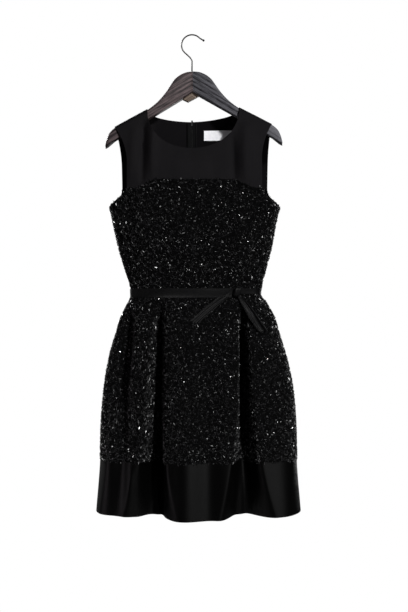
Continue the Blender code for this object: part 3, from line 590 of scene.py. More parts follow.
def new_mesh(name, verts, faces, finish, smooth=True):
    """Make an object from points in millimetres and an array of faces of one size."""
    faces = np.asarray(faces, np.int32)
    mesh = bpy.data.meshes.new(name)
    mesh.vertices.add(len(verts))
    mesh.vertices.foreach_set("co", (np.asarray(verts, float) * MM).astype(np.float32).ravel())
    mesh.loops.add(faces.size)
    mesh.loops.foreach_set("vertex_index", faces.ravel())
    mesh.polygons.add(len(faces))
    mesh.polygons.foreach_set("loop_start", np.arange(len(faces), dtype=np.int32) * faces.shape[1])
    mesh.polygons.foreach_set("use_smooth", np.full(len(faces), smooth))
    mesh.update(calc_edges=True)
    mesh.materials.append(finish)
    made = bpy.data.objects.new(name, mesh)
    bpy.context.scene.collection.objects.link(made)
    return made


def grid_faces(rows, cols, closed=False):
    """Return the faces of a grid of points, row by row."""
    i, j = np.meshgrid(np.arange(rows - 1), np.arange(cols if closed else cols - 1), indexing="ij")
    k = (j + 1) % cols
    corners = [i * cols + j, i * cols + k, (i + 1) * cols + k, (i + 1) * cols + j]
    return np.stack(corners, axis=-1).reshape(-1, 4)


def shell(name, outer, inner, finish, closed=False, flip=False):
    """Make a thin shell between two grids of points, closed round its edges."""
    rows, cols = outer.shape[:2]
    half = rows * cols
    face = grid_faces(rows, cols, closed)
    steps = np.arange(cols if closed else cols - 1)
    k = (steps + 1) % cols
    top = (rows - 1) * cols
    parts = [face, face[:, ::-1] + half,
             np.stack([steps, steps + half, k + half, k], axis=1),
             np.stack([top + k, top + k + half, top + steps + half, top + steps], axis=1)]
    if not closed:
        r = np.arange(rows - 1)
        a, d = r * cols, (r + 1) * cols
        parts.append(np.stack([a, d, d + half, a + half], axis=1))
        a, d = a + cols - 1, d + cols - 1
        parts.append(np.stack([d, a, a + half, d + half], axis=1))
    faces = np.concatenate(parts)
    if flip:
        faces = faces[:, ::-1]
    verts = np.concatenate([outer.reshape(-1, 3), inner.reshape(-1, 3)])
    made = new_mesh(name, verts, faces, finish)
    made.data.set_sharp_from_angle(angle=SHARP_CLOTH)
    return made


def capped(points):
    """Return the points and triangles of a closed tube, its ends filled from their middles."""
    rows, cols = points.shape[:2]
    verts = np.concatenate([points.reshape(-1, 3), points[0].mean(0)[None], points[-1].mean(0)[None]])
    quads = grid_faces(rows, cols, True)
    j = np.arange(cols)
    k = (j + 1) % cols
    end = rows * cols
    caps = np.concatenate([np.stack([j, 0 * j + end, k], axis=1),
                           np.stack([k + end - cols, 0 * j + end + 1, j + end - cols], axis=1)])
    return verts, np.concatenate([quads[:, [0, 1, 2]], quads[:, [0, 2, 3]], caps])


def grid_normals(points, side):
    """Return outward normals of a grid that runs left to right and bottom to top."""
    across = np.gradient(points, axis=1)
    up = np.gradient(points, axis=0)
    return -outward(side) * unit(np.cross(across, up))


# Materials


class Nodes:
    """A short way to write a material's nodes."""

    def __init__(self, name, color, roughness, metallic=0.0, **sockets):
        self.material = bpy.data.materials.new(name)
        self.material.use_nodes = True
        self.tree = self.material.node_tree
        self.shader = self.tree.nodes["Principled BSDF"]
        self.set(self.shader, {"Base Color": (*color, 1.0), "Roughness": roughness, "Metallic": metallic})
        self.set(self.shader, {key.replace("_", " "): value for key, value in sockets.items()})

    def set(self, node, values):
        for key, value in values.items():
            if isinstance(value, bpy.types.NodeSocket):
                self.tree.links.new(value, node.inputs[key])
            else:
                node.inputs[key].default_value = value

    def add(self, kind, values=None, **settings):
        node = self.tree.nodes.new("ShaderNode" + kind)
        for key, value in settings.items():
            setattr(node, key, value)
        self.set(node, values or {})
        return node

    def place(self, scale=(1, 1, 1), turn=(0, 0, 0)):
        """Return coordinates in the object's own space, scaled and turned."""
        where = self.add("TexCoord").outputs["Object"]
        return self.add("Mapping", {"Vector": where, "Scale": scale, "Rotation": turn}).outputs[0]

    def noise(self, where, scale, detail=3.0, rough=0.5):
        values = {"Vector": where, "Scale": scale, "Detail": detail, "Roughness": rough}
        return self.add("TexNoise", values).outputs[0]

    def wave(self, where, scale, distortion=0.0, detail=1.0, direction="X"):
        values = {"Vector": where, "Scale": scale, "Distortion": distortion, "Detail": detail}
        return self.add("TexWave", values, bands_direction=direction).outputs[1]

    def ramp(self, factor, stops):
        """Return a colour ramp's output; each stop is a place and a colour."""
        node = self.add("ValToRGB", {"Fac": factor})
        band = node.color_ramp
        while len(band.elements) < len(stops):
            band.elements.new(0.5)
        for element, (at, color) in zip(band.elements, stops):
            element.position = at
            element.color = (*color, 1.0)
        return node.outputs[0]

    def scale(self, value, low, high, start=0.0, end=1.0):
        values = {"Value": value, "From Min": start, "From Max": end, "To Min": low, "To Max": high}
        return self.add("MapRange", values).outputs[0]

    def combine(self, operation, a, b):
        node = self.add("Math", operation=operation)
        for socket, value in zip(node.inputs, (a, b)):
            if isinstance(value, bpy.types.NodeSocket):
                self.tree.links.new(value, socket)
            else:
                socket.default_value = value
        return node.outputs[0]

    def bump(self, height, distance, strength=1.0):
        node = self.add("Bump", {"Height": height, "Distance": distance, "Strength": strength})
        self.set(self.shader, {"Normal": node.outputs[0]})

    def color(self, output):
        self.set(self.shader, {"Base Color": output})

    def tones(self, factor, start, low, end, high):
        """Colour the material from low to high, between two values of a factor."""
        self.color(self.ramp(factor, ((start, low), (end, high))))


def crepe_material():
    """Matt black crepe: a fine pebbled weave with a faint change of tone."""
    m = Nodes("crepe", (0.002, 0.002, 0.002), 0.7, Specular_IOR_Level=0.055)
    where = m.place()
    pebble = m.noise(where, 1500, 2.0, 0.6)
    thread = m.combine("MULTIPLY", m.wave(where, 900), m.wave(where, 900, direction="Z"))
    m.bump(m.combine("ADD", pebble, thread), 0.00025, 0.7)
    broad = m.noise(where, 14, 2.0)
    m.tones(broad, 0.3, (0.0021, 0.00185, 0.0023), 0.7, (0.0029, 0.0025, 0.0030))
    return m.material


def ground_material():
    """The black cloth under the beads, rough with thread."""
    m = Nodes("beaded_ground", (0.0006, 0.0006, 0.0006), 0.8, Specular_IOR_Level=0.02)
    where = m.place()
    m.bump(m.combine("ADD", m.noise(where, 420, 4.0, 0.7), m.noise(where, 1300, 2.0)), 0.0012, 1.0)
    m.tones(m.noise(where, 240, 3.0), 0.35, (0.0003, 0.0003, 0.0003), 0.7, (0.0012, 0.0012, 0.0013))
    return m.material


def bead_material(name, low, high, rough_low, rough_high, specular):
    """Black glass, each bead with its own tone and gloss."""
    m = Nodes(name, low, 0.3, IOR=1.6, Specular_IOR_Level=specular)
    own = m.add("Attribute", attribute_name="own").outputs["Fac"]
    m.tones(own, 0.35, low, 1.0, high)
    m.set(m.shader, {"Roughness": m.scale(own, rough_low, rough_high)})
    return m.material


def satin_material():
    """Soft black satin with a fine slanting float."""
    m = Nodes("satin", (0.0002, 0.0002, 0.0002), 0.40, Specular_IOR_Level=0.052)
    where = m.place(turn=(0, 0.9, 0))
    m.bump(m.combine("ADD", m.wave(where, 1400), m.noise(where, 1100, 2.0)), 0.00006, 0.5)
    m.set(m.shader, {"Roughness": m.scale(m.noise(m.place((1, 1, 0.25)), 40), 0.38, 0.46)})
    return m.material


def ribbon_material():
    """Black ribbon with close cross ribs."""
    m = Nodes("ribbon", (0.0013, 0.0013, 0.0013), 0.40, Specular_IOR_Level=0.05)
    where = m.place()
    m.bump(m.combine("ADD", m.wave(where, 620), m.noise(where, 900, 2.0)), 0.00012, 0.7)
    m.tones(m.noise(where, 60, 2.0), 0.3, (0.0009, 0.0009, 0.0010), 0.7, (0.0018, 0.0018, 0.0019))
    return m.material


def tape_material():
    """Woven zip tape with a herringbone of fine threads."""
    m = Nodes("zip_tape_weave", (0.0022, 0.0022, 0.0024), 0.7, Specular_IOR_Level=0.06)
    slant = m.wave(m.place(turn=(0, 0.8, 0)), 700)
    other = m.wave(m.place(turn=(0, -0.8, 0)), 700)
    m.bump(m.combine("MAXIMUM", slant, other), 0.0002, 0.8)
    return m.material


def label_material():
    """Plain white woven label."""
    m = Nodes("label_weave", (0.82, 0.82, 0.84), 0.65, Sheen_Weight=0.1)
    where = m.place()
    m.bump(m.combine("ADD", m.wave(where, 700), m.wave(where, 900, direction="Z")), 0.0001, 0.6)
    m.tones(m.noise(where, 160, 2.0), 0.35, (0.84, 0.84, 0.87), 0.7, (0.92, 0.92, 0.93))
    return m.material


def wood_material(name, dark, pale, end, rim):
    """Stained wood, its grain along the arm, with painted light and shade that change its tone towards the
    tip and a painted highlight by the lower edge.
    """
    m = Nodes(name, dark, 0.55, Specular_IOR_Level=0.1)
    axes = m.add("SeparateXYZ", {"Vector": m.add("TexCoord").outputs["Object"]}).outputs
    out = m.combine("ABSOLUTE", axes[0], 0.0)
    raised = m.combine("ADD", axes[2], UNDERSIDE_DROP)
    up = m.combine("ADD", raised, m.combine("MULTIPLY", out, UNDERSIDE_SLOPE))
    along = m.combine("ADD", m.combine("MULTIPLY", axes[0], 0.035), 0.3)
    deep = m.combine("MULTIPLY", axes[1], 0.5)
    where = m.add("CombineXYZ", {"X": along, "Y": deep, "Z": up}).outputs[0]
    ring = m.wave(where, 27, 5.5, 2.0, direction="Z")
    streak = m.noise(where, 260, 4.0, 0.65)
    fleck = m.noise(where, 900, 3.0, 0.7)
    tone = m.combine("ADD", m.scale(ring, -0.1, 0.3), m.scale(streak, -0.1, 0.75, 0.3, 0.7))
    tone = m.combine("ADD", tone, m.scale(fleck, -0.12, 0.12, 0.35, 0.65))
    # Painted light and shade along the arm: towards the tip the tone changes by end, which pales the right
    # arm's tip where it turns to the light and darkens the left arm's
    tone = m.combine("ADD", tone, m.scale(out, 0.0, end, 0.02, 0.2))
    # Painted highlight: a paler band along the lower edge of the arm, by rim
    tone = m.combine("ADD", tone, m.scale(up, rim, 0.0, 0.001, 0.009))
    m.tones(tone, 0.1, dark, 0.9, pale)
    pores = m.combine("ADD", m.scale(streak, 0.0, 1.0, 0.3, 0.7), m.scale(fleck, 0.0, 0.6, 0.35, 0.65))
    m.bump(pores, 0.0003, 0.8)
    m.set(m.shader, {"Roughness": m.scale(streak, 0.42, 0.62, 0.3, 0.7)})
    return m.material


def wire_material():
    """Darkened steel wire with fine drawn marks."""
    m = Nodes("dark_wire", (0.04, 0.04, 0.04), 0.4, 0.8)
    m.set(m.shader, {"Roughness": m.scale(m.noise(m.place(), 900, 3.0), 0.26, 0.44)})
    m.tones(m.noise(m.place(), 260, 3.0), 0.3, (0.022, 0.022, 0.021), 0.7, (0.05, 0.049, 0.048))
    return m.material


def lacquer_material():
    """Black lacquered metal, a little worn."""
    m = Nodes("black_lacquer", (0.018, 0.018, 0.018), 0.3, 0.4, Coat_Weight=0.4, Coat_Roughness=0.2)
    m.set(m.shader, {"Roughness": m.scale(m.noise(m.place(), 1800, 3.0), 0.24, 0.42)})
    return m.material


# Cloth panels


def finish_piece(piece, nodes):
    """Let a piece ride on the dress and stand for its solids."""
    if nodes:
        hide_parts(*nodes)
    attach(piece, "dress")
    return piece


def make_panel(name, side, outer, normal, wall, finish, slot):
    """Make a panel of cloth from its outer points and their normals."""
    panel = shell("cloth_" + name, outer, outer - wall * normal, finish, flip=side == "back")
    return finish_piece(panel, [name])


# Ends of the names, sides, pleats, edges, and steps between the edges and the pleats' lines
TUBE_PIECES = (
    ("front", "front", FRONT_PLEATS, side_angle, right_seam, (30, 14, 14, 30, 14, 14, 26)),
    ("back_left", "back", BACK_PLEATS[:1], side_angle, before_centre, (24, 14, 14, 14)),
    ("back_right", "back", BACK_PLEATS[1:], after_centre, right_seam, (14, 14, 14, 24)),
)
SKIRT_STOPS = (WAIST_Z - SEAM / 2, -640.0, -760.0, BAND_TOP_Z + SEAM / 2)
SKIRT_STEPS = (12, 18, 26)
BAND_STEPS = 22


def skirt_columns(pleats, z, start, end, counts):
    """Return phi of a skirt piece's columns, which follow its pleats down."""
    knots = [start]
    for row in pleats:
        x, wide, _ = fold_line(row, z)
        knots.extend(angle_of_x(x + shift * wide, z) for shift in (-1, 0, 1))
    knots.append(end)
    return spread(knots, counts)


def tube_grid(piece, z):
    """Return outer points and normals of one piece of the skirt or band."""
    _, side, pleats, start, end, counts = piece
    phi = skirt_columns(pleats, z, start(z), end(z), counts)
    zz = np.broadcast_to(z[:, None], phi.shape)
    return dress_point(side, phi, zz), dress_normal(side, phi, zz)


def make_tubes(name, z, wall, finish, slot):
    """Make the three pieces of the skirt or of the hem band."""
    return {piece[0]: make_panel(f"{name}_{piece[0]}", piece[1], *tube_grid(piece, z), wall, finish, slot)
            for piece in TUBE_PIECES}


BODICE_STEPS = 40
ARMHOLE_STEPS = 18


def bodice_grid(side, part):
    """Return phi and z for a bodice piece, whose columns meet those of the yoke above it."""
    arm = np.linspace(0, 1, ARMHOLE_STEPS + 1)
    edge_z_low = np.linspace(WAIST_Z + SEAM / 2, UNDERARM_Z, BODICE_STEPS + 1)[:-1]
    arm_phi, arm_z = armhole_edge(side, arm)
    edge_z = np.concatenate([edge_z_low, arm_z])
    edge_phi = np.concatenate([side_angle(edge_z_low), arm_phi])
    rise = (edge_z - edge_z[0]) / (edge_z[-1] - edge_z[0])
    seam_x = yoke_bottom(side, part)
    seam_phi = angle_of_x(seam_x, seam_height(side, seam_x))
    q = ((seam_phi - seam_phi[0]) / (seam_phi[-1] - seam_phi[0]))[None, :]
    if part == "front":
        start, end = edge_phi, math.pi - edge_phi
        at_edge = np.abs(2 * q - 1) ** 3
    elif part == "left":
        start, end = edge_phi, before_centre(edge_z)
        at_edge = (1 - q) ** 3
    else:
        start, end = after_centre(edge_z), math.pi - edge_phi
        at_edge = q ** 3
    phi = start[:, None] + (end - start)[:, None] * q
    top_z = seam_height(side, seam_x) - SEAM / 2
    even = edge_z[0] + (top_z - edge_z[0])[None, :] * rise[:, None]
    smooth_rise = np.linspace(0, 1, len(edge_z))[:, None]
    inner = edge_z[0] + (top_z - edge_z[0])[None, :] * smooth_rise
    z = even * at_edge + inner * (1 - at_edge)
    return phi, z


# Ends of the names, sides, and which part of its side each piece covers
UPPER_PIECES = (
    ("front", "front", "front"),
    ("back_left", "back", "left"),
    ("back_right", "back", "right"),
)


def make_bodice(finish):
    """Make the three pieces of the bodice's ground cloth."""
    made = {}
    for ending, side, part in UPPER_PIECES:
        phi, z = bodice_grid(side, part)
        made[ending] = make_panel(f"bodice_{ending}", side, dress_point(side, phi, z),
                                  dress_normal(side, phi, z), WALL_EMBROIDERED, finish, "beaded_cloth")
    return made


YOKE_TURN_STEPS = 8
YOKE_BODY_STEPS = 44
BOW_FADE = 1.5


def yoke_grid(side, part):
    """Return outer points and normals of one piece of the yoke, from the seam up."""
    top = yoke_top(side, part)
    low_x = yoke_bottom(side, part)
    low_z = seam_height(side, low_x) + SEAM / 2
    top_drop = FOLD_RADIUS * (1 - np.cos(np.linspace(0, math.pi / 2, YOKE_TURN_STEPS)))
    body = np.linspace(0, 1, YOKE_BODY_STEPS)[1:]
    tall = top[:, 1] - low_z
    edge_drop = top_drop[None, :] * np.ones((len(tall), 1))
    body_drop = FOLD_RADIUS + (tall - FOLD_RADIUS)[:, None] * body[None, :]
    drop = np.concatenate([edge_drop, body_drop], axis=1).T[::-1]
    z = top[:, 1][None, :] - drop
    share = drop / tall[None, :]
    x = top[:, 0][None, :] + (low_x - top[:, 0])[None, :] * share
    bow = armhole_bow(z, top[:, 1][None, :], low_z[None, :]) * (top[:, 0] - low_x)[None, :]
    weight = np.zeros(len(low_x))
    if part in ("front", "left"):
        weight[:SHOULDER_COLS] = (1 - np.arange(SHOULDER_COLS) / SHOULDER_COLS) ** BOW_FADE
    if part in ("front", "right"):
        weight[-SHOULDER_COLS:] = ((1 + np.arange(SHOULDER_COLS)) / SHOULDER_COLS) ** BOW_FADE
    x = x + bow * weight[None, :]
    outer = np.stack([x, yoke_depth(side, x, z), z], axis=-1)
    normal = grid_normals(outer, side)
    normal[0] = dress_normal(side, angle_of_x(x[0], z[0]), z[0])
    sign = np.sign(top[:, 0])
    over_arm = unit(np.stack([sign * SHOULDER_SLOPE - LEAN, 0 * sign, 1 + 0 * sign], axis=1))
    on_shoulder = np.abs(top[:, 0] - LEAN_SHIFT) > NECK_HALF - 0.01
    normal[-1][on_shoulder] = over_arm[on_shoulder]
    if part != "front":
        centre = -1 if part == "left" else 0
        normal[:, centre, 0] = 0.0
        normal[:, centre] = unit(normal[:, centre])
    return outer, normal


def make_yoke(finish):
    """Make the three pieces of the plain yoke."""
    for ending, side, part in UPPER_PIECES:
        panel = make_panel(f"yoke_{ending}", side, *yoke_grid(side, part), WALL_CREPE, finish, "crepe")


# Beads and sequins

# Ranges of half sizes and lifts are in millimetres, tilts and spreads are standard deviations
BEADS_PER_M2 = 100000
BEAD_JITTER = 0.7
BEAD_TILT = 0.28
BEAD_HALF = (1.0, 1.5)
BEAD_HALF_TALL = (0.9, 1.35)
BEAD_LIFT = (0.1, 0.9)
BUGLE_SHARE = 0.5
BUGLE_HALF_LONG = (1.7, 3.0)
BUGLE_HALF = 0.8
BRIGHT_SHARE = 0.22
SEQUINS_PER_M2 = 11000
SEQUIN_JITTER = 1.6
SEQUIN_TILT = 0.32
SEQUIN_RADIUS = (1.0, 1.8)
SEQUIN_LIFT = 1.3
CURL_SPREAD = 0.35
GAP_LEVEL = 0.62
GAP_SHARE = 0.85
EDGE_WAVE = 2.2
EDGE_SPREAD = 1.6
UNDER_BELT = 0.6
UNDER_BELT_LOW = 0.4
SEAM_COVER = 1.5
BELOW_SEAM = (3.0, 6.0)
ABOVE_SEAM = (2.0, 5.0)
OCTAHEDRON = np.array([(1, 0, 0), (-1, 0, 0), (0, 1, 0), (0, -1, 0), (0, 0, 1), (0, 0, -1)], float)
OCTAHEDRON_FACES = np.array([(0, 2, 4), (2, 1, 4), (1, 3, 4), (3, 0, 4),
                             (2, 0, 5), (1, 2, 5), (3, 1, 5), (0, 3, 5)])
PRISM = np.array([(end, y, z) for end in (-1, 1) for y, z in ((-0.9, -0.5), (0.9, -0.5), (0, 0.9))])
PRISM_FACES = np.array([(0, 2, 1), (3, 4, 5), (0, 1, 4), (0, 4, 3),
                        (1, 2, 5), (1, 5, 4), (2, 0, 3), (2, 3, 5)])
DISC_SIDES = 6
DISC = np.array([(math.cos(a), math.sin(a), 0) for a in np.arange(DISC_SIDES) * math.pi / 3]
                + [(0, 0, 0.16), (0, 0, -0.16)])
DISC_FACES = np.array([(j, (j + 1) % DISC_SIDES, DISC_SIDES) for j in range(DISC_SIDES)]
                      + [((j + 1) % DISC_SIDES, j, DISC_SIDES + 1) for j in range(DISC_SIDES)])
# Steps of an even sequence of places in a square
EVEN_STEPS = (0.7548776662466927, 0.5698402909980532)


def scatter(points, normals, density, jitter, seed):
    """Return evenly spread points on a grid's surface with their normals and grid places."""
    rng = np.random.default_rng(seed)
    a = points[1:, :-1] - points[:-1, :-1]
    b = points[:-1, 1:] - points[:-1, :-1]
    area = np.linalg.norm(np.cross(a, b), axis=-1) * MM * MM
    count = int(area.sum() * density)
    n = np.arange(1, count + 1)
    u = (n * EVEN_STEPS[0]) % 1.0
    v = (n * EVEN_STEPS[1]) % 1.0
    by_row = np.concatenate([[0], np.cumsum(area.sum(axis=1))])
    row = np.interp(v, by_row / by_row[-1], np.arange(len(by_row)))
    i = np.clip(row.astype(int), 0, area.shape[0] - 1)
    along = np.cumsum(area, axis=1)
    along = np.concatenate([np.zeros((area.shape[0], 1)), along / along[:, -1:]], axis=1)
    j = np.array([np.searchsorted(along[r], s) for r, s in zip(i, u)])
    j = np.clip(j - 1, 0, area.shape[1] - 1)
    width = np.maximum(along[i, j + 1] - along[i, j], 1e-9)
    fi = np.clip(row - i, 0, 1)[:, None]
    fj = np.clip((u - along[i, j]) / width, 0, 1)[:, None]

    def read(grid):
        low = grid[i, j] * (1 - fj) + grid[i, j + 1] * fj
        high = grid[i + 1, j] * (1 - fj) + grid[i + 1, j + 1] * fj
        return low * (1 - fi) + high * fi

    where = read(points)
    normal = unit(read(normals))
    shake = rng.normal(0, jitter, where.shape)
    shake = shake - normal * (shake * normal).sum(axis=1, keepdims=True)
    return where + shake, normal


def frames_on(where, normal, tilt, rng):
    """Return three axes for each normal: long ones follow slow curls, all tilted a little."""
    x, z = where[:, 0], where[:, 2]
    # Two slow waves, some 6 cm long, turn the run of the long beads into curls
    a = 2.6 * np.sin(x / 10.5 + 1.3 * np.sin(z / 17)) + 2.4 * np.cos(z / 9.5 + 1.1 * np.sin(x / 21))
    a = a + rng.normal(0, CURL_SPREAD, len(a))
    lean = unit(normal + rng.normal(0, tilt, normal.shape))
    run = np.stack([np.cos(a), 0 * a, np.sin(a)], axis=1)
    other = unit(run - lean * (run * lean).sum(axis=1, keepdims=True))
    return np.stack([other, np.cross(lean, other), lean], axis=1)


def grains(name, groups, finishes):
    """Make one mesh of many small solids; each group has its shape, places, axes, sizes and tones."""
    verts, faces, tones, kinds, base = [], [], [], [], 0
    for shape, shape_faces, where, axes, sizes, own in groups:
        points = np.einsum("vk,nk,nkc->nvc", shape, sizes, axes) + where[:, None, :]
        count = len(shape)
        every = shape_faces[None, :, :] + (np.arange(len(where)) * count)[:, None, None] + base
        verts.append(points.reshape(-1, 3))
        faces.append(every.reshape(-1, 3))
        tones.append(np.repeat(own, count))
        kinds.append(np.repeat(own > 1 - BRIGHT_SHARE, len(shape_faces)))
        base = base + len(where) * count
    made = new_mesh(name, np.concatenate(verts), np.concatenate(faces), finishes[0], smooth=False)
    made.data.materials.append(finishes[1])
    made.data.polygons.foreach_set("material_index", np.concatenate(kinds).astype(np.int32))
    tone = made.data.attributes.new("own", "FLOAT", "POINT")
    tone.data.foreach_set("value", np.concatenate(tones).astype(np.float32))
    return made


def in_gap(where, rng):
    """Return which beads fall in the small bare patches between the curls of embroidery."""
    x, z = where[:, 0], where[:, 2]
    # The patches lie some 17 mm apart each way, and the outer waves bend their rows
    curl = np.sin(x / 5.6 + 1.7 * np.sin(z / 13)) * np.sin(z / 5.1 + 1.4 * np.sin(x / 11))
    return (np.abs(curl) > GAP_LEVEL) & (rng.uniform(0, 1, len(x)) < GAP_SHARE)


def cover(name, points, normals, keep, finishes, seed):
    """Cover a panel with beads and sequins and return the two pieces."""
    rng = np.random.default_rng(seed)
    where, normal = scatter(points, normals, BEADS_PER_M2, BEAD_JITTER, seed)
    kept = keep(where, rng) & ~in_gap(where, rng)
    where, normal = where[kept], normal[kept]
    n = len(where)
    axes = frames_on(where, normal, BEAD_TILT, rng)
    long = rng.uniform(0, 1, n) < BUGLE_SHARE
    ranges = (BEAD_HALF, BEAD_HALF, BEAD_HALF_TALL)
    sizes = np.stack([rng.uniform(*limits, n) for limits in ranges], axis=1)
    thin = np.full(n, BUGLE_HALF)
    sizes[long] = np.stack([rng.uniform(*BUGLE_HALF_LONG, n), thin, thin], axis=1)[long]
    where = where + normal * rng.uniform(*BEAD_LIFT, n)[:, None]
    own = rng.uniform(0, 1, n)
    groups = [(*kind, where[of], axes[of], sizes[of], own[of])
              for kind, of in (((OCTAHEDRON, OCTAHEDRON_FACES), ~long), ((PRISM, PRISM_FACES), long))]
    beads = grains(f"beads_{name}", groups, finishes[0])
    where, normal = scatter(points, normals, SEQUINS_PER_M2, SEQUIN_JITTER, seed + 1)
    kept = keep(where, rng)
    where, normal = where[kept], normal[kept]
    n = len(where)
    radius = rng.uniform(*SEQUIN_RADIUS, n)
    sizes = np.stack([radius, radius, radius], axis=1)
    axes = frames_on(where, normal, SEQUIN_TILT, rng)
    group = (DISC, DISC_FACES, where + normal * SEQUIN_LIFT, axes, sizes, rng.uniform(0, 1, n))
    sequins = grains(f"sequins_{name}", [group], finishes[1])
    for piece in (beads, sequins):
        finish_piece(piece, None)
    return [beads, sequins]


def ragged(side, low, high):
    """Return a test that keeps beads between two heights, with a ragged edge, and off the belt."""
    def keep(where, rng):
        x, z = where[:, 0], where[:, 2]
        wave = EDGE_WAVE * np.sin(x / 7.3) * np.sin(x / 3.1 + 1.7)
        uneven = wave + rng.uniform(-EDGE_SPREAD, EDGE_SPREAD, len(x))
        clear = (z > BELT_TOP_Z - UNDER_BELT) | (z < belt_low(side, x) + UNDER_BELT_LOW)
        return clear & (z > low(x) + uneven) & (z < high(x) + uneven)
    return keep


def belt_low(side, x):
    """Return the height of the belt's lower edge, which is drawn up just past the knot."""
    start, ease = BELT_DRAWN_FROM[side]
    return BELT_LOW_Z + BELT_DRAWN * smoothstep((x - start) / ease)


def embroider(finishes):
    low_z = np.concatenate([between(SKIRT_STOPS, SKIRT_STEPS), BAND_TOP_Z - np.array(BELOW_SEAM)])
    for k, piece in enumerate(TUBE_PIECES):
        points, normals = tube_grid(piece, low_z)
        keep = ragged(piece[1], lambda x: BAND_TOP_Z - SEAM_COVER + 0 * x, lambda x: BELT_TOP_Z + 0 * x)
        cover_pieces = cover(f"skirt_{piece[0]}", points, normals, keep, finishes, 100 + 10 * k)
    for k, (ending, side, part) in enumerate(UPPER_PIECES):
        phi, z = bodice_grid(side, part)
        z = np.concatenate([z, *(z[-1:] + above for above in ABOVE_SEAM)])
        phi = np.concatenate([phi, phi[-1:], phi[-1:]])
        points, normals = dress_point(side, phi, z), dress_normal(side, phi, z)
        keep = ragged(side, lambda x: WAIST_Z + 0 * x, lambda x, s=side: seam_height(s, x) + SEAM_COVER)
        cover_pieces = cover(f"bodice_{ending}", points, normals, keep, finishes, 200 + 10 * k)


# Belt

BELT_ROWS = 9
BELT_COLS = 200
KNOT_ROWS = 37
KNOT_COLS = 48
KNOT_LIFT = 0.6
TAIL_ROWS = 46
TAIL_COLS = 31


def front_point(x, z, lift):
    """Return points over the front, bridging the folds, at a distance from the cloth."""
    phi = angle_of_x(x, z)
    return dress_point("front", phi, z, False) + lift[..., None] * dress_normal("front", phi, z, False)


def make_belt(finish):
    """Make the ring of ribbon, its edges turned a little in."""
    share = np.linspace(0, 1, BELT_ROWS)[:, None]
    phi = np.linspace(0, math.pi, BELT_COLS + 1)[None, :]
    rings = []
    for lift in (BELT_GAP + BELT_THICK, BELT_GAP + BELT_INNER):
        sides = []
        for side in ("front", "back"):
            x = dress_point(side, phi, WAIST_Z, False)[..., 0]
            low = belt_low(side, x)
            z = low + (BELT_TOP_Z - low) * share
            wave = BELT_WAVE * np.sin(x / BELT_WAVE_LONG) * np.sin(math.pi * share)
            crown = lift - BELT_EDGE_TURN * np.abs(2 * share - 1) ** 4 + wave
            at, turned = dress_point(side, phi, z, False), dress_normal(side, phi, z, False)
            sides.append(at + crown[..., None] * turned)
        rings.append(np.concatenate([sides[0], sides[1][:, -2:0:-1]], axis=1))
    ring = shell("ribbon_belt", rings[0], rings[1], finish, closed=True)
    finish_piece(ring, ["belt"])


def make_knot(finish):
    """Make the knot: ribbon wrapped over itself, with folds that run round it."""
    base = front_point(np.array(KNOT_X), np.array(KNOT_Z), np.array(BELT_GAP + BELT_THICK + KNOT_LIFT))
    turn = np.linspace(0.02, math.pi - 0.02, KNOT_ROWS)[:, None]
    b = np.linspace(0, 2 * math.pi, KNOT_COLS + 1)[None, :-1]
    up = -np.cos(turn)
    body = np.sin(turn) ** 0.6
    pinch = 1 - 0.12 * np.cos(2 * turn) ** 2
    across = np.sign(np.cos(b)) * np.abs(np.cos(b)) ** 0.8
    front = np.clip(-np.sin(b), 0, None)
    fold = 1 - 0.10 * front * np.cos(7.5 * across + 1.4 * up)
    x = base[0] + KNOT_HALF_WIDE * body * across * pinch + 2.0 * up
    y = base[1] - KNOT_HALF_DEEP + KNOT_HALF_DEEP * body * np.sin(b) * fold
    z = base[2] + KNOT_HALF_TALL * up + 0 * b
    verts, faces = capped(np.stack(np.broadcast_arrays(x, y, z), axis=-1))
    made = new_mesh("ribbon_knot", verts, faces, finish)
    finish_piece(made, ["belt_knot"])


def make_tail(row, finish, fold):
    """Make one free end of the belt; fold is how deep it is creased lengthwise."""
    tail = dict(zip(TAIL_COLUMNS, row))
    t = np.linspace(0, 1, TAIL_ROWS)[:, None]
    q = np.linspace(-0.5, 0.5, TAIL_COLS)[None, :]
    dx = tail["x_end"] - tail["x_start"]
    dz = tail["z_end"] - tail["z_start"]
    long = math.hypot(dx, dz)
    bow = tail["bow"] * np.sin(math.pi * t)
    wide = tail["wide_start"] + (tail["wide_end"] - tail["wide_start"]) * smoothstep(t * 1.6)
    cut = tail["slant"] * t ** 6 * q
    x = tail["x_start"] + dx * (t + cut / long) - dz / long * (wide * q + bow)
    z = tail["z_start"] + dz * (t + cut / long) + dx / long * (wide * q + bow)
    lift = TAIL_GAP + tail["puff"] * np.sin(math.pi * t) ** 2 + tail["curl"] * (2 * q) ** 2 * t
    rolled = sum(tall * np.exp(-((q - at) / half) ** 2) for tall, at, half in TAIL_ROLLS)
    lift = lift + fold * (rolled + 3.0 * (q + 0.5)) * smoothstep(3 * t)
    lift = lift + TAIL_WAVE * np.sin(q * 11 + 1.2 + 1.5 * t) * smoothstep(3 * t)
    x, z, lift = np.broadcast_arrays(x, z, lift)
    made = shell("ribbon_" + row[0], front_point(x, z, lift + TAIL_THICK), front_point(x, z, lift), finish)
    finish_piece(made, [row[0]])


# Inside the back


def back_inside(x, z, lift):
    """Return points on the inner face of the back, moved in by lift."""
    x, z = np.broadcast_arrays(np.asarray(x, float), np.asarray(z, float))
    phi = angle_of_x(x, z)
    below = dress_point("back", phi, z, False)
    below_in = dress_normal("back", phi, z, False)
    above = np.stack([x, yoke_depth("back", x, z), z], axis=-1)
    step = 1.0
    slope_z = (yoke_depth("back", x, z + step) - yoke_depth("back", x, z - step)) / (2 * step)
    slope_x = (yoke_depth("back", x + step, z) - yoke_depth("back", x - step, z)) / (2 * step)
    above_in = unit(np.stack([-slope_x, 1 + 0 * x, -slope_z], axis=-1))
    on_yoke = (z > BACK_SEAM_Z)[..., None]
    return np.where(on_yoke, above, below) - np.where(on_yoke, above_in, below_in) * lift


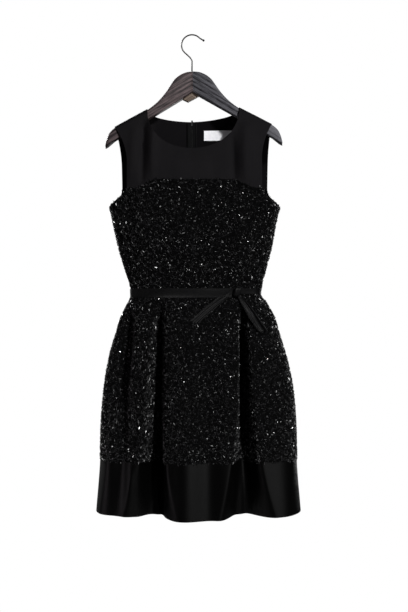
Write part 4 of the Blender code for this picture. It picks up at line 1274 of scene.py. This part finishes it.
def strip(name, x_range, z_range, cols, rows, gap, thick, finish, cord=0.0):
    """Make a strip that lies along the inner face of the back."""
    x = np.linspace(*x_range, cols)[None, :]
    z = np.linspace(*z_range, rows)[:, None]
    lift = SOLID_EMBROIDERED + gap
    raised = cord * np.exp(-((np.abs(x) - ZIP_CORD_X) / ZIP_CORD_HALF) ** 2)
    face = back_inside(x, z, np.broadcast_to((lift + thick + raised)[..., None], (rows, cols, 1)))
    return shell(name, back_inside(x, z, lift), face, finish, flip=True)


def make_inside(tape, white, metal):
    """Make the zip's tape and teeth and the label, inside the back."""
    made = strip("woven_zip_tape", (-ZIP_HALF, ZIP_HALF), (ZIP_LOW_Z, ZIP_TOP_Z), 33, 160,
                 ZIP_TAPE_GAP, ZIP_THICK, tape, ZIP_CORD_TALL)
    finish_piece(made, ["zip_tape"])
    z = np.arange(ZIP_LOW_Z + 6, ZIP_TOP_Z - 14, TOOTH_PITCH)
    sign = np.where(np.arange(len(z)) % 2 == 0, -1.0, 1.0)
    where = back_inside(TOOTH_X * sign, z, SOLID_EMBROIDERED + ZIP_TAPE_GAP + ZIP_THICK + TOOTH_LIFT)
    axes = np.broadcast_to(np.eye(3), (len(z), 3, 3))
    sizes = np.broadcast_to(np.array(TOOTH_HALF), (len(z), 3))
    group = (OCTAHEDRON, OCTAHEDRON_FACES, where, axes, sizes, np.full(len(z), TOOTH_TONE))
    teeth = grains("zip_teeth", [group], (metal, metal))
    finish_piece(teeth, None)
    label = strip("blank_label", (LABEL_LEFT, LABEL_LEFT + LABEL_WIDE),
                  (LABEL_TOP_Z - LABEL_TALL, LABEL_TOP_Z), 34, 12, LABEL_GAP, LABEL_THICK, white)
    finish_piece(label, ["label"])


# Hanger


ARM_CREST = smooth_column(*np.array(ARM_TOP, float).T)


def arm_ring(x, taper, middle):
    """Return one section of a hanger arm in y and z: a round top and a sloping underside."""
    top = float(ARM_CREST(x))
    low = np.interp(x, *np.array(ARM_LOW, float).T)
    face_low = low - ARM_FACE_FALL * min(1.0, (ARM_TIP - x) / ARM_TIP_EASE)
    half = ARM_THICK / 2 * taper
    radius = min(half, (top - low) / 2)
    points = [(middle + half * math.cos(a), top - radius + radius * math.sin(a))
              for a in np.linspace(0, math.pi, ARM_ROUND_POINTS)]
    back_low = low - ARM_UNDERSIDE_FALL
    cuts = ((0.0, ARM_EDGE), (ARM_EDGE_CUT, ARM_EDGE_CUT), (ARM_EDGE, 0.0))
    points.extend((middle - half + across, face_low + up) for across, up in cuts)
    points.extend((middle + half - across, back_low + up) for across, up in cuts[::-1])
    return points


def make_arm(name, sign, finish):
    """Make one arm of the hanger as a fine loft from the middle joint to the tip."""
    stations = between((0, SHOULDER_HALF, ARM_TIP), ARM_STEPS)
    tapers = np.interp(stations, *ARM_TAPERS)
    rings = []
    for x, taper in zip(stations, tapers):
        across = sign * max(x, ARM_JOINT_HALF)
        ring = np.array(arm_ring(x, taper, float(arm_middle(across + LEAN_SHIFT))))
        rings.append(np.stack([across - LEAN * ring[:, 1], ring[:, 0], ring[:, 1] + LEAN * across], axis=1))
    verts, faces = capped(np.array(rings))
    if sign < 0:
        faces = faces[:, ::-1]
    made = new_mesh("wood_" + name, verts, faces, finish)
    made.data.set_sharp_from_angle(angle=SHARP_WOOD)
    finish_piece(made, [name])


def make_block(finish):
    """Make the small wooden block under the joint of the two arms."""
    face = np.array(BLOCK_FACE, float)
    inset = face + BLOCK_BEVEL * unit(face.mean(axis=0) - face)
    rings = [np.stack([ring[:, 0] + LEAN_SHIFT, 0 * ring[:, 0] + y, ring[:, 1]], axis=1)
             for ring, y in zip((inset, face, face, inset), BLOCK_DEPTHS)]
    verts = np.concatenate(rings)
    faces = np.concatenate([grid_faces(4, 4, True), [(3, 2, 1, 0), (12, 13, 14, 15)]])
    made = new_mesh("wood_block", verts, faces, finish, smooth=False)
    finish_piece(made, None)


def make_hook(finish):
    """Make the hook: one wire swept along its route, with a small ball at its tip."""
    centre = np.array([0.0, HOOK_CENTRE_Z])
    route = [np.array(HOOK_TIP)]
    for a in np.radians(np.linspace(HOOK_START, HOOK_END, HOOK_ARC_POINTS)):
        route.append(centre + HOOK_RADIUS * np.array([math.cos(a), math.sin(a)]))
    last = route[-1]
    leaves = last + HOOK_EASE * np.array([-math.sin(a), math.cos(a)])
    neck = np.array([0.0, HOOK_NECK_Z])
    arrives = neck + np.array([0.0, HOOK_EASE])
    for t in np.linspace(0, 1, HOOK_LEAD_POINTS)[1:]:
        s = 1 - t
        route.append(s ** 3 * last + 3 * t * s * s * leaves + 3 * t * t * s * arrives + t ** 3 * neck)
    route.extend([neck - np.array([0.0, HOOK_STEM]), np.array([0.0, HOOK_FOOT_Z])])
    tip = unit(route[0] - route[1])
    ball = [(route[0] + tip * HOOK_BALL * math.cos(a), HOOK_BALL * math.sin(a))
            for a in np.radians(np.linspace(6, 142, HOOK_BALL_RINGS))]
    stations = ball + [(point, HOOK_WIRE / 2) for point in route[1:]]
    centres = np.array([point for point, _ in stations])
    radii = np.array([radius for _, radius in stations])
    along = unit(np.gradient(centres, axis=0))
    along[:HOOK_BALL_RINGS] = -tip
    b = np.linspace(0, 2 * math.pi, HOOK_SIDES + 1)[:-1]
    x = centres[:, 0, None] - along[:, 1, None] * radii[:, None] * np.cos(b)
    y = radii[:, None] * np.sin(b)
    z = centres[:, 1, None] + along[:, 0, None] * radii[:, None] * np.cos(b)
    verts, faces = capped(np.stack([x, y, z], axis=-1))
    made = new_mesh("wire_hook", verts, faces, finish)
    finish_piece(made, ["hanger_hook"])


# Studio

VIEW_DISTANCE = 2.2
PHOTO_WIDE = 408
PHOTO_TALL = 612
PIXEL = 0.0023
HOOK_PX = 192.0
HOOK_PY = 35.5
SENSOR = 36.0
FLOOR_Z = -1.5
FLOOR_RADIUS = 0.52
FLOOR_SIDES = 96
FLOOR_THICK_MM = 12.0
DRESS_MIDDLE = (0.01, 0.0, -0.62)


def make_camera():
    """Set the camera where the photograph was taken from, level with the dress's middle."""
    data = bpy.data.cameras.new("camera")
    data.sensor_fit = "VERTICAL"
    data.sensor_height = SENSOR
    data.lens = SENSOR * VIEW_DISTANCE / (PHOTO_TALL * PIXEL)
    made = bpy.data.objects.new("camera", data)
    bpy.context.scene.collection.objects.link(made)
    made.location = ((PHOTO_WIDE / 2 - HOOK_PX) * PIXEL, -VIEW_DISTANCE, (HOOK_PY - PHOTO_TALL / 2) * PIXEL)
    made.rotation_euler = (math.radians(90), 0, 0)
    bpy.context.scene.camera = made


def make_light(name, kind, energy, location, target, **settings):
    """Make a lamp that points at a place."""
    data = bpy.data.lights.new(name, kind)
    data.energy = energy
    for key, value in settings.items():
        setattr(data, key, value)
    made = bpy.data.objects.new(name, data)
    bpy.context.scene.collection.objects.link(made)
    made.location = location
    away = np.array(location, float) - np.array(target, float)
    made.rotation_euler = (math.atan2(math.hypot(away[0], away[1]), away[2]), 0,
                           math.atan2(away[0], -away[1]))


def make_panel_light(name, energy, location, target, wide, tall, color=(1.0, 1.0, 1.0)):
    """Make a rectangular lamp that points at a place."""
    make_light(name, "AREA", energy, location, target, shape="RECTANGLE", size=wide, size_y=tall, color=color)


def make_studio():
    """Light the dress with a crisp key from the upper right and a strip at its right."""
    make_light("key", "SUN", 5.7, (0.64, -1.0, 0.07), DRESS_MIDDLE, angle=math.radians(4.0))
    make_panel_light("strip", 16.0, (1.1, -1.5, -0.7), (0.0, 0.0, -0.8), 0.6, 1.6)
    make_panel_light("fill", 1.6, (-1.7, -0.9, -0.8), DRESS_MIDDLE, 2.0, 1.6, (1.0, 0.92, 0.95))
    make_panel_light("low", 3.2, (-1.1, -0.4, -1.15), (-0.2, 0.0, -1.03), 0.5, 0.5, (1.0, 0.9, 0.98))
    make_light("rear", "SUN", 4.2, (-0.7, 1.0, -0.2), DRESS_MIDDLE, angle=math.radians(6.0))
    make_panel_light("rear_fill", 24.0, (0.9, 2.0, -0.5), DRESS_MIDDLE, 1.2, 1.6)
    make_panel_light("left_side", 2.6, (-1.9, 0.5, -0.4), DRESS_MIDDLE, 1.2, 1.6)
    world = bpy.data.worlds.new("studio")
    world.use_nodes = True
    tree = world.node_tree
    tree.nodes.clear()
    seen = tree.nodes.new("ShaderNodeBackground")
    seen.inputs["Color"].default_value = (1.0, 1.0, 1.0, 1.0)
    seen.inputs["Strength"].default_value = 1.0
    light = tree.nodes.new("ShaderNodeBackground")
    light.inputs["Color"].default_value = (0.95, 0.96, 1.0, 1.0)
    light.inputs["Strength"].default_value = 0.06
    path = tree.nodes.new("ShaderNodeLightPath")
    mix = tree.nodes.new("ShaderNodeMixShader")
    out = tree.nodes.new("ShaderNodeOutputWorld")
    tree.links.new(path.outputs["Is Camera Ray"], mix.inputs[0])
    tree.links.new(light.outputs[0], mix.inputs[1])
    tree.links.new(seen.outputs[0], mix.inputs[2])
    tree.links.new(mix.outputs[0], out.inputs[0])
    bpy.context.scene.world = world
    bpy.context.scene.view_settings.view_transform = "Standard"


def make_floor():
    """Lay a round pale floor under the hanging dress."""
    a = np.linspace(0, 2 * math.pi, FLOOR_SIDES + 1)[:-1]
    rim = np.stack([FLOOR_RADIUS * np.cos(a), FLOOR_RADIUS * np.sin(a), FLOOR_Z + 0 * a], axis=1) / MM
    middle = np.array([[0, 0, FLOOR_Z / MM]])
    down = np.array([0, 0, FLOOR_THICK_MM])
    verts = np.concatenate([rim, rim - down, middle, middle - down])
    n = FLOOR_SIDES
    j = np.arange(n)
    k = (j + 1) % n
    faces = np.concatenate([np.stack([j, k, 0 * j + 2 * n], axis=1),
                            np.stack([k + n, j + n, 0 * j + 2 * n + 1], axis=1),
                            np.stack([j + n, k + n, k], axis=1), np.stack([j + n, k, j], axis=1)])
    m = Nodes("floor", (0.8, 0.8, 0.79), 0.6)
    m.bump(m.noise(m.place(), 60, 4.0), 0.0004, 0.4)
    floor = new_mesh("floor", verts, faces, m.material, smooth=False)


def main():
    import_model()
    make_camera()
    crepe = crepe_material()
    ground = ground_material()
    satin = satin_material()
    ribbon = ribbon_material()
    lacquer = lacquer_material()
    black, grey = (0.0006, 0.0006, 0.0007), (0.009, 0.009, 0.0096)
    beads = (bead_material("bead_dull", black, grey, 0.36, 0.46, 0.105),
             bead_material("bead_bright", black, grey, 0.17, 0.32, 0.42))
    sequins = (bead_material("sequin_dull", black, grey, 0.26, 0.4, 0.09),
               bead_material("sequin_bright", black, (0.012, 0.012, 0.013), 0.13, 0.26, 0.6))
    make_yoke(crepe)
    bodice = make_bodice(ground)
    skirt = make_tubes("skirt", between(SKIRT_STOPS, SKIRT_STEPS), WALL_EMBROIDERED, ground,
                       "beaded_cloth")
    band_z = np.linspace(BAND_TOP_Z - SEAM / 2, HEM_Z, BAND_STEPS + 1)
    band = make_tubes("band", band_z, WALL_SATIN, satin, "satin")
    embroider((beads, sequins))
    make_belt(ribbon)
    make_knot(ribbon)
    make_tail(TAILS[0], ribbon, 0.25)
    make_tail(TAILS[1], ribbon, 1.0)
    make_inside(tape_material(), label_material(), lacquer)
    # One wood for both arms: the left arm's warmer, paler tones are painted light and the right arm's darker,
    # bluish tones are painted shade
    wood_left_lit = wood_material("wood_left_lit", (0.009, 0.0066, 0.0072), (0.08, 0.060, 0.061), -0.2, 0.05)
    wood_right_shaded = wood_material("wood_right_shaded", (0.006, 0.0059, 0.0072), (0.07, 0.069, 0.077), 0.35, 0.3)
    make_block(wood_material("wood_block", (0.05, 0.037, 0.028), (0.12, 0.092, 0.072), 0.0, 0.0))
    make_arm("hanger_arm_left", -1, wood_left_lit)
    make_arm("hanger_arm_right", 1, wood_right_shaded)
    make_hook(wire_material())
    for name in ("neck_hook", "zip_slider", "zip_pull"):
        node = bpy.data.objects[name]
        node.data.materials.clear()
        node.data.materials.append(lacquer)
    make_studio()
    make_floor()
    bpy.context.view_layer.update()


main()
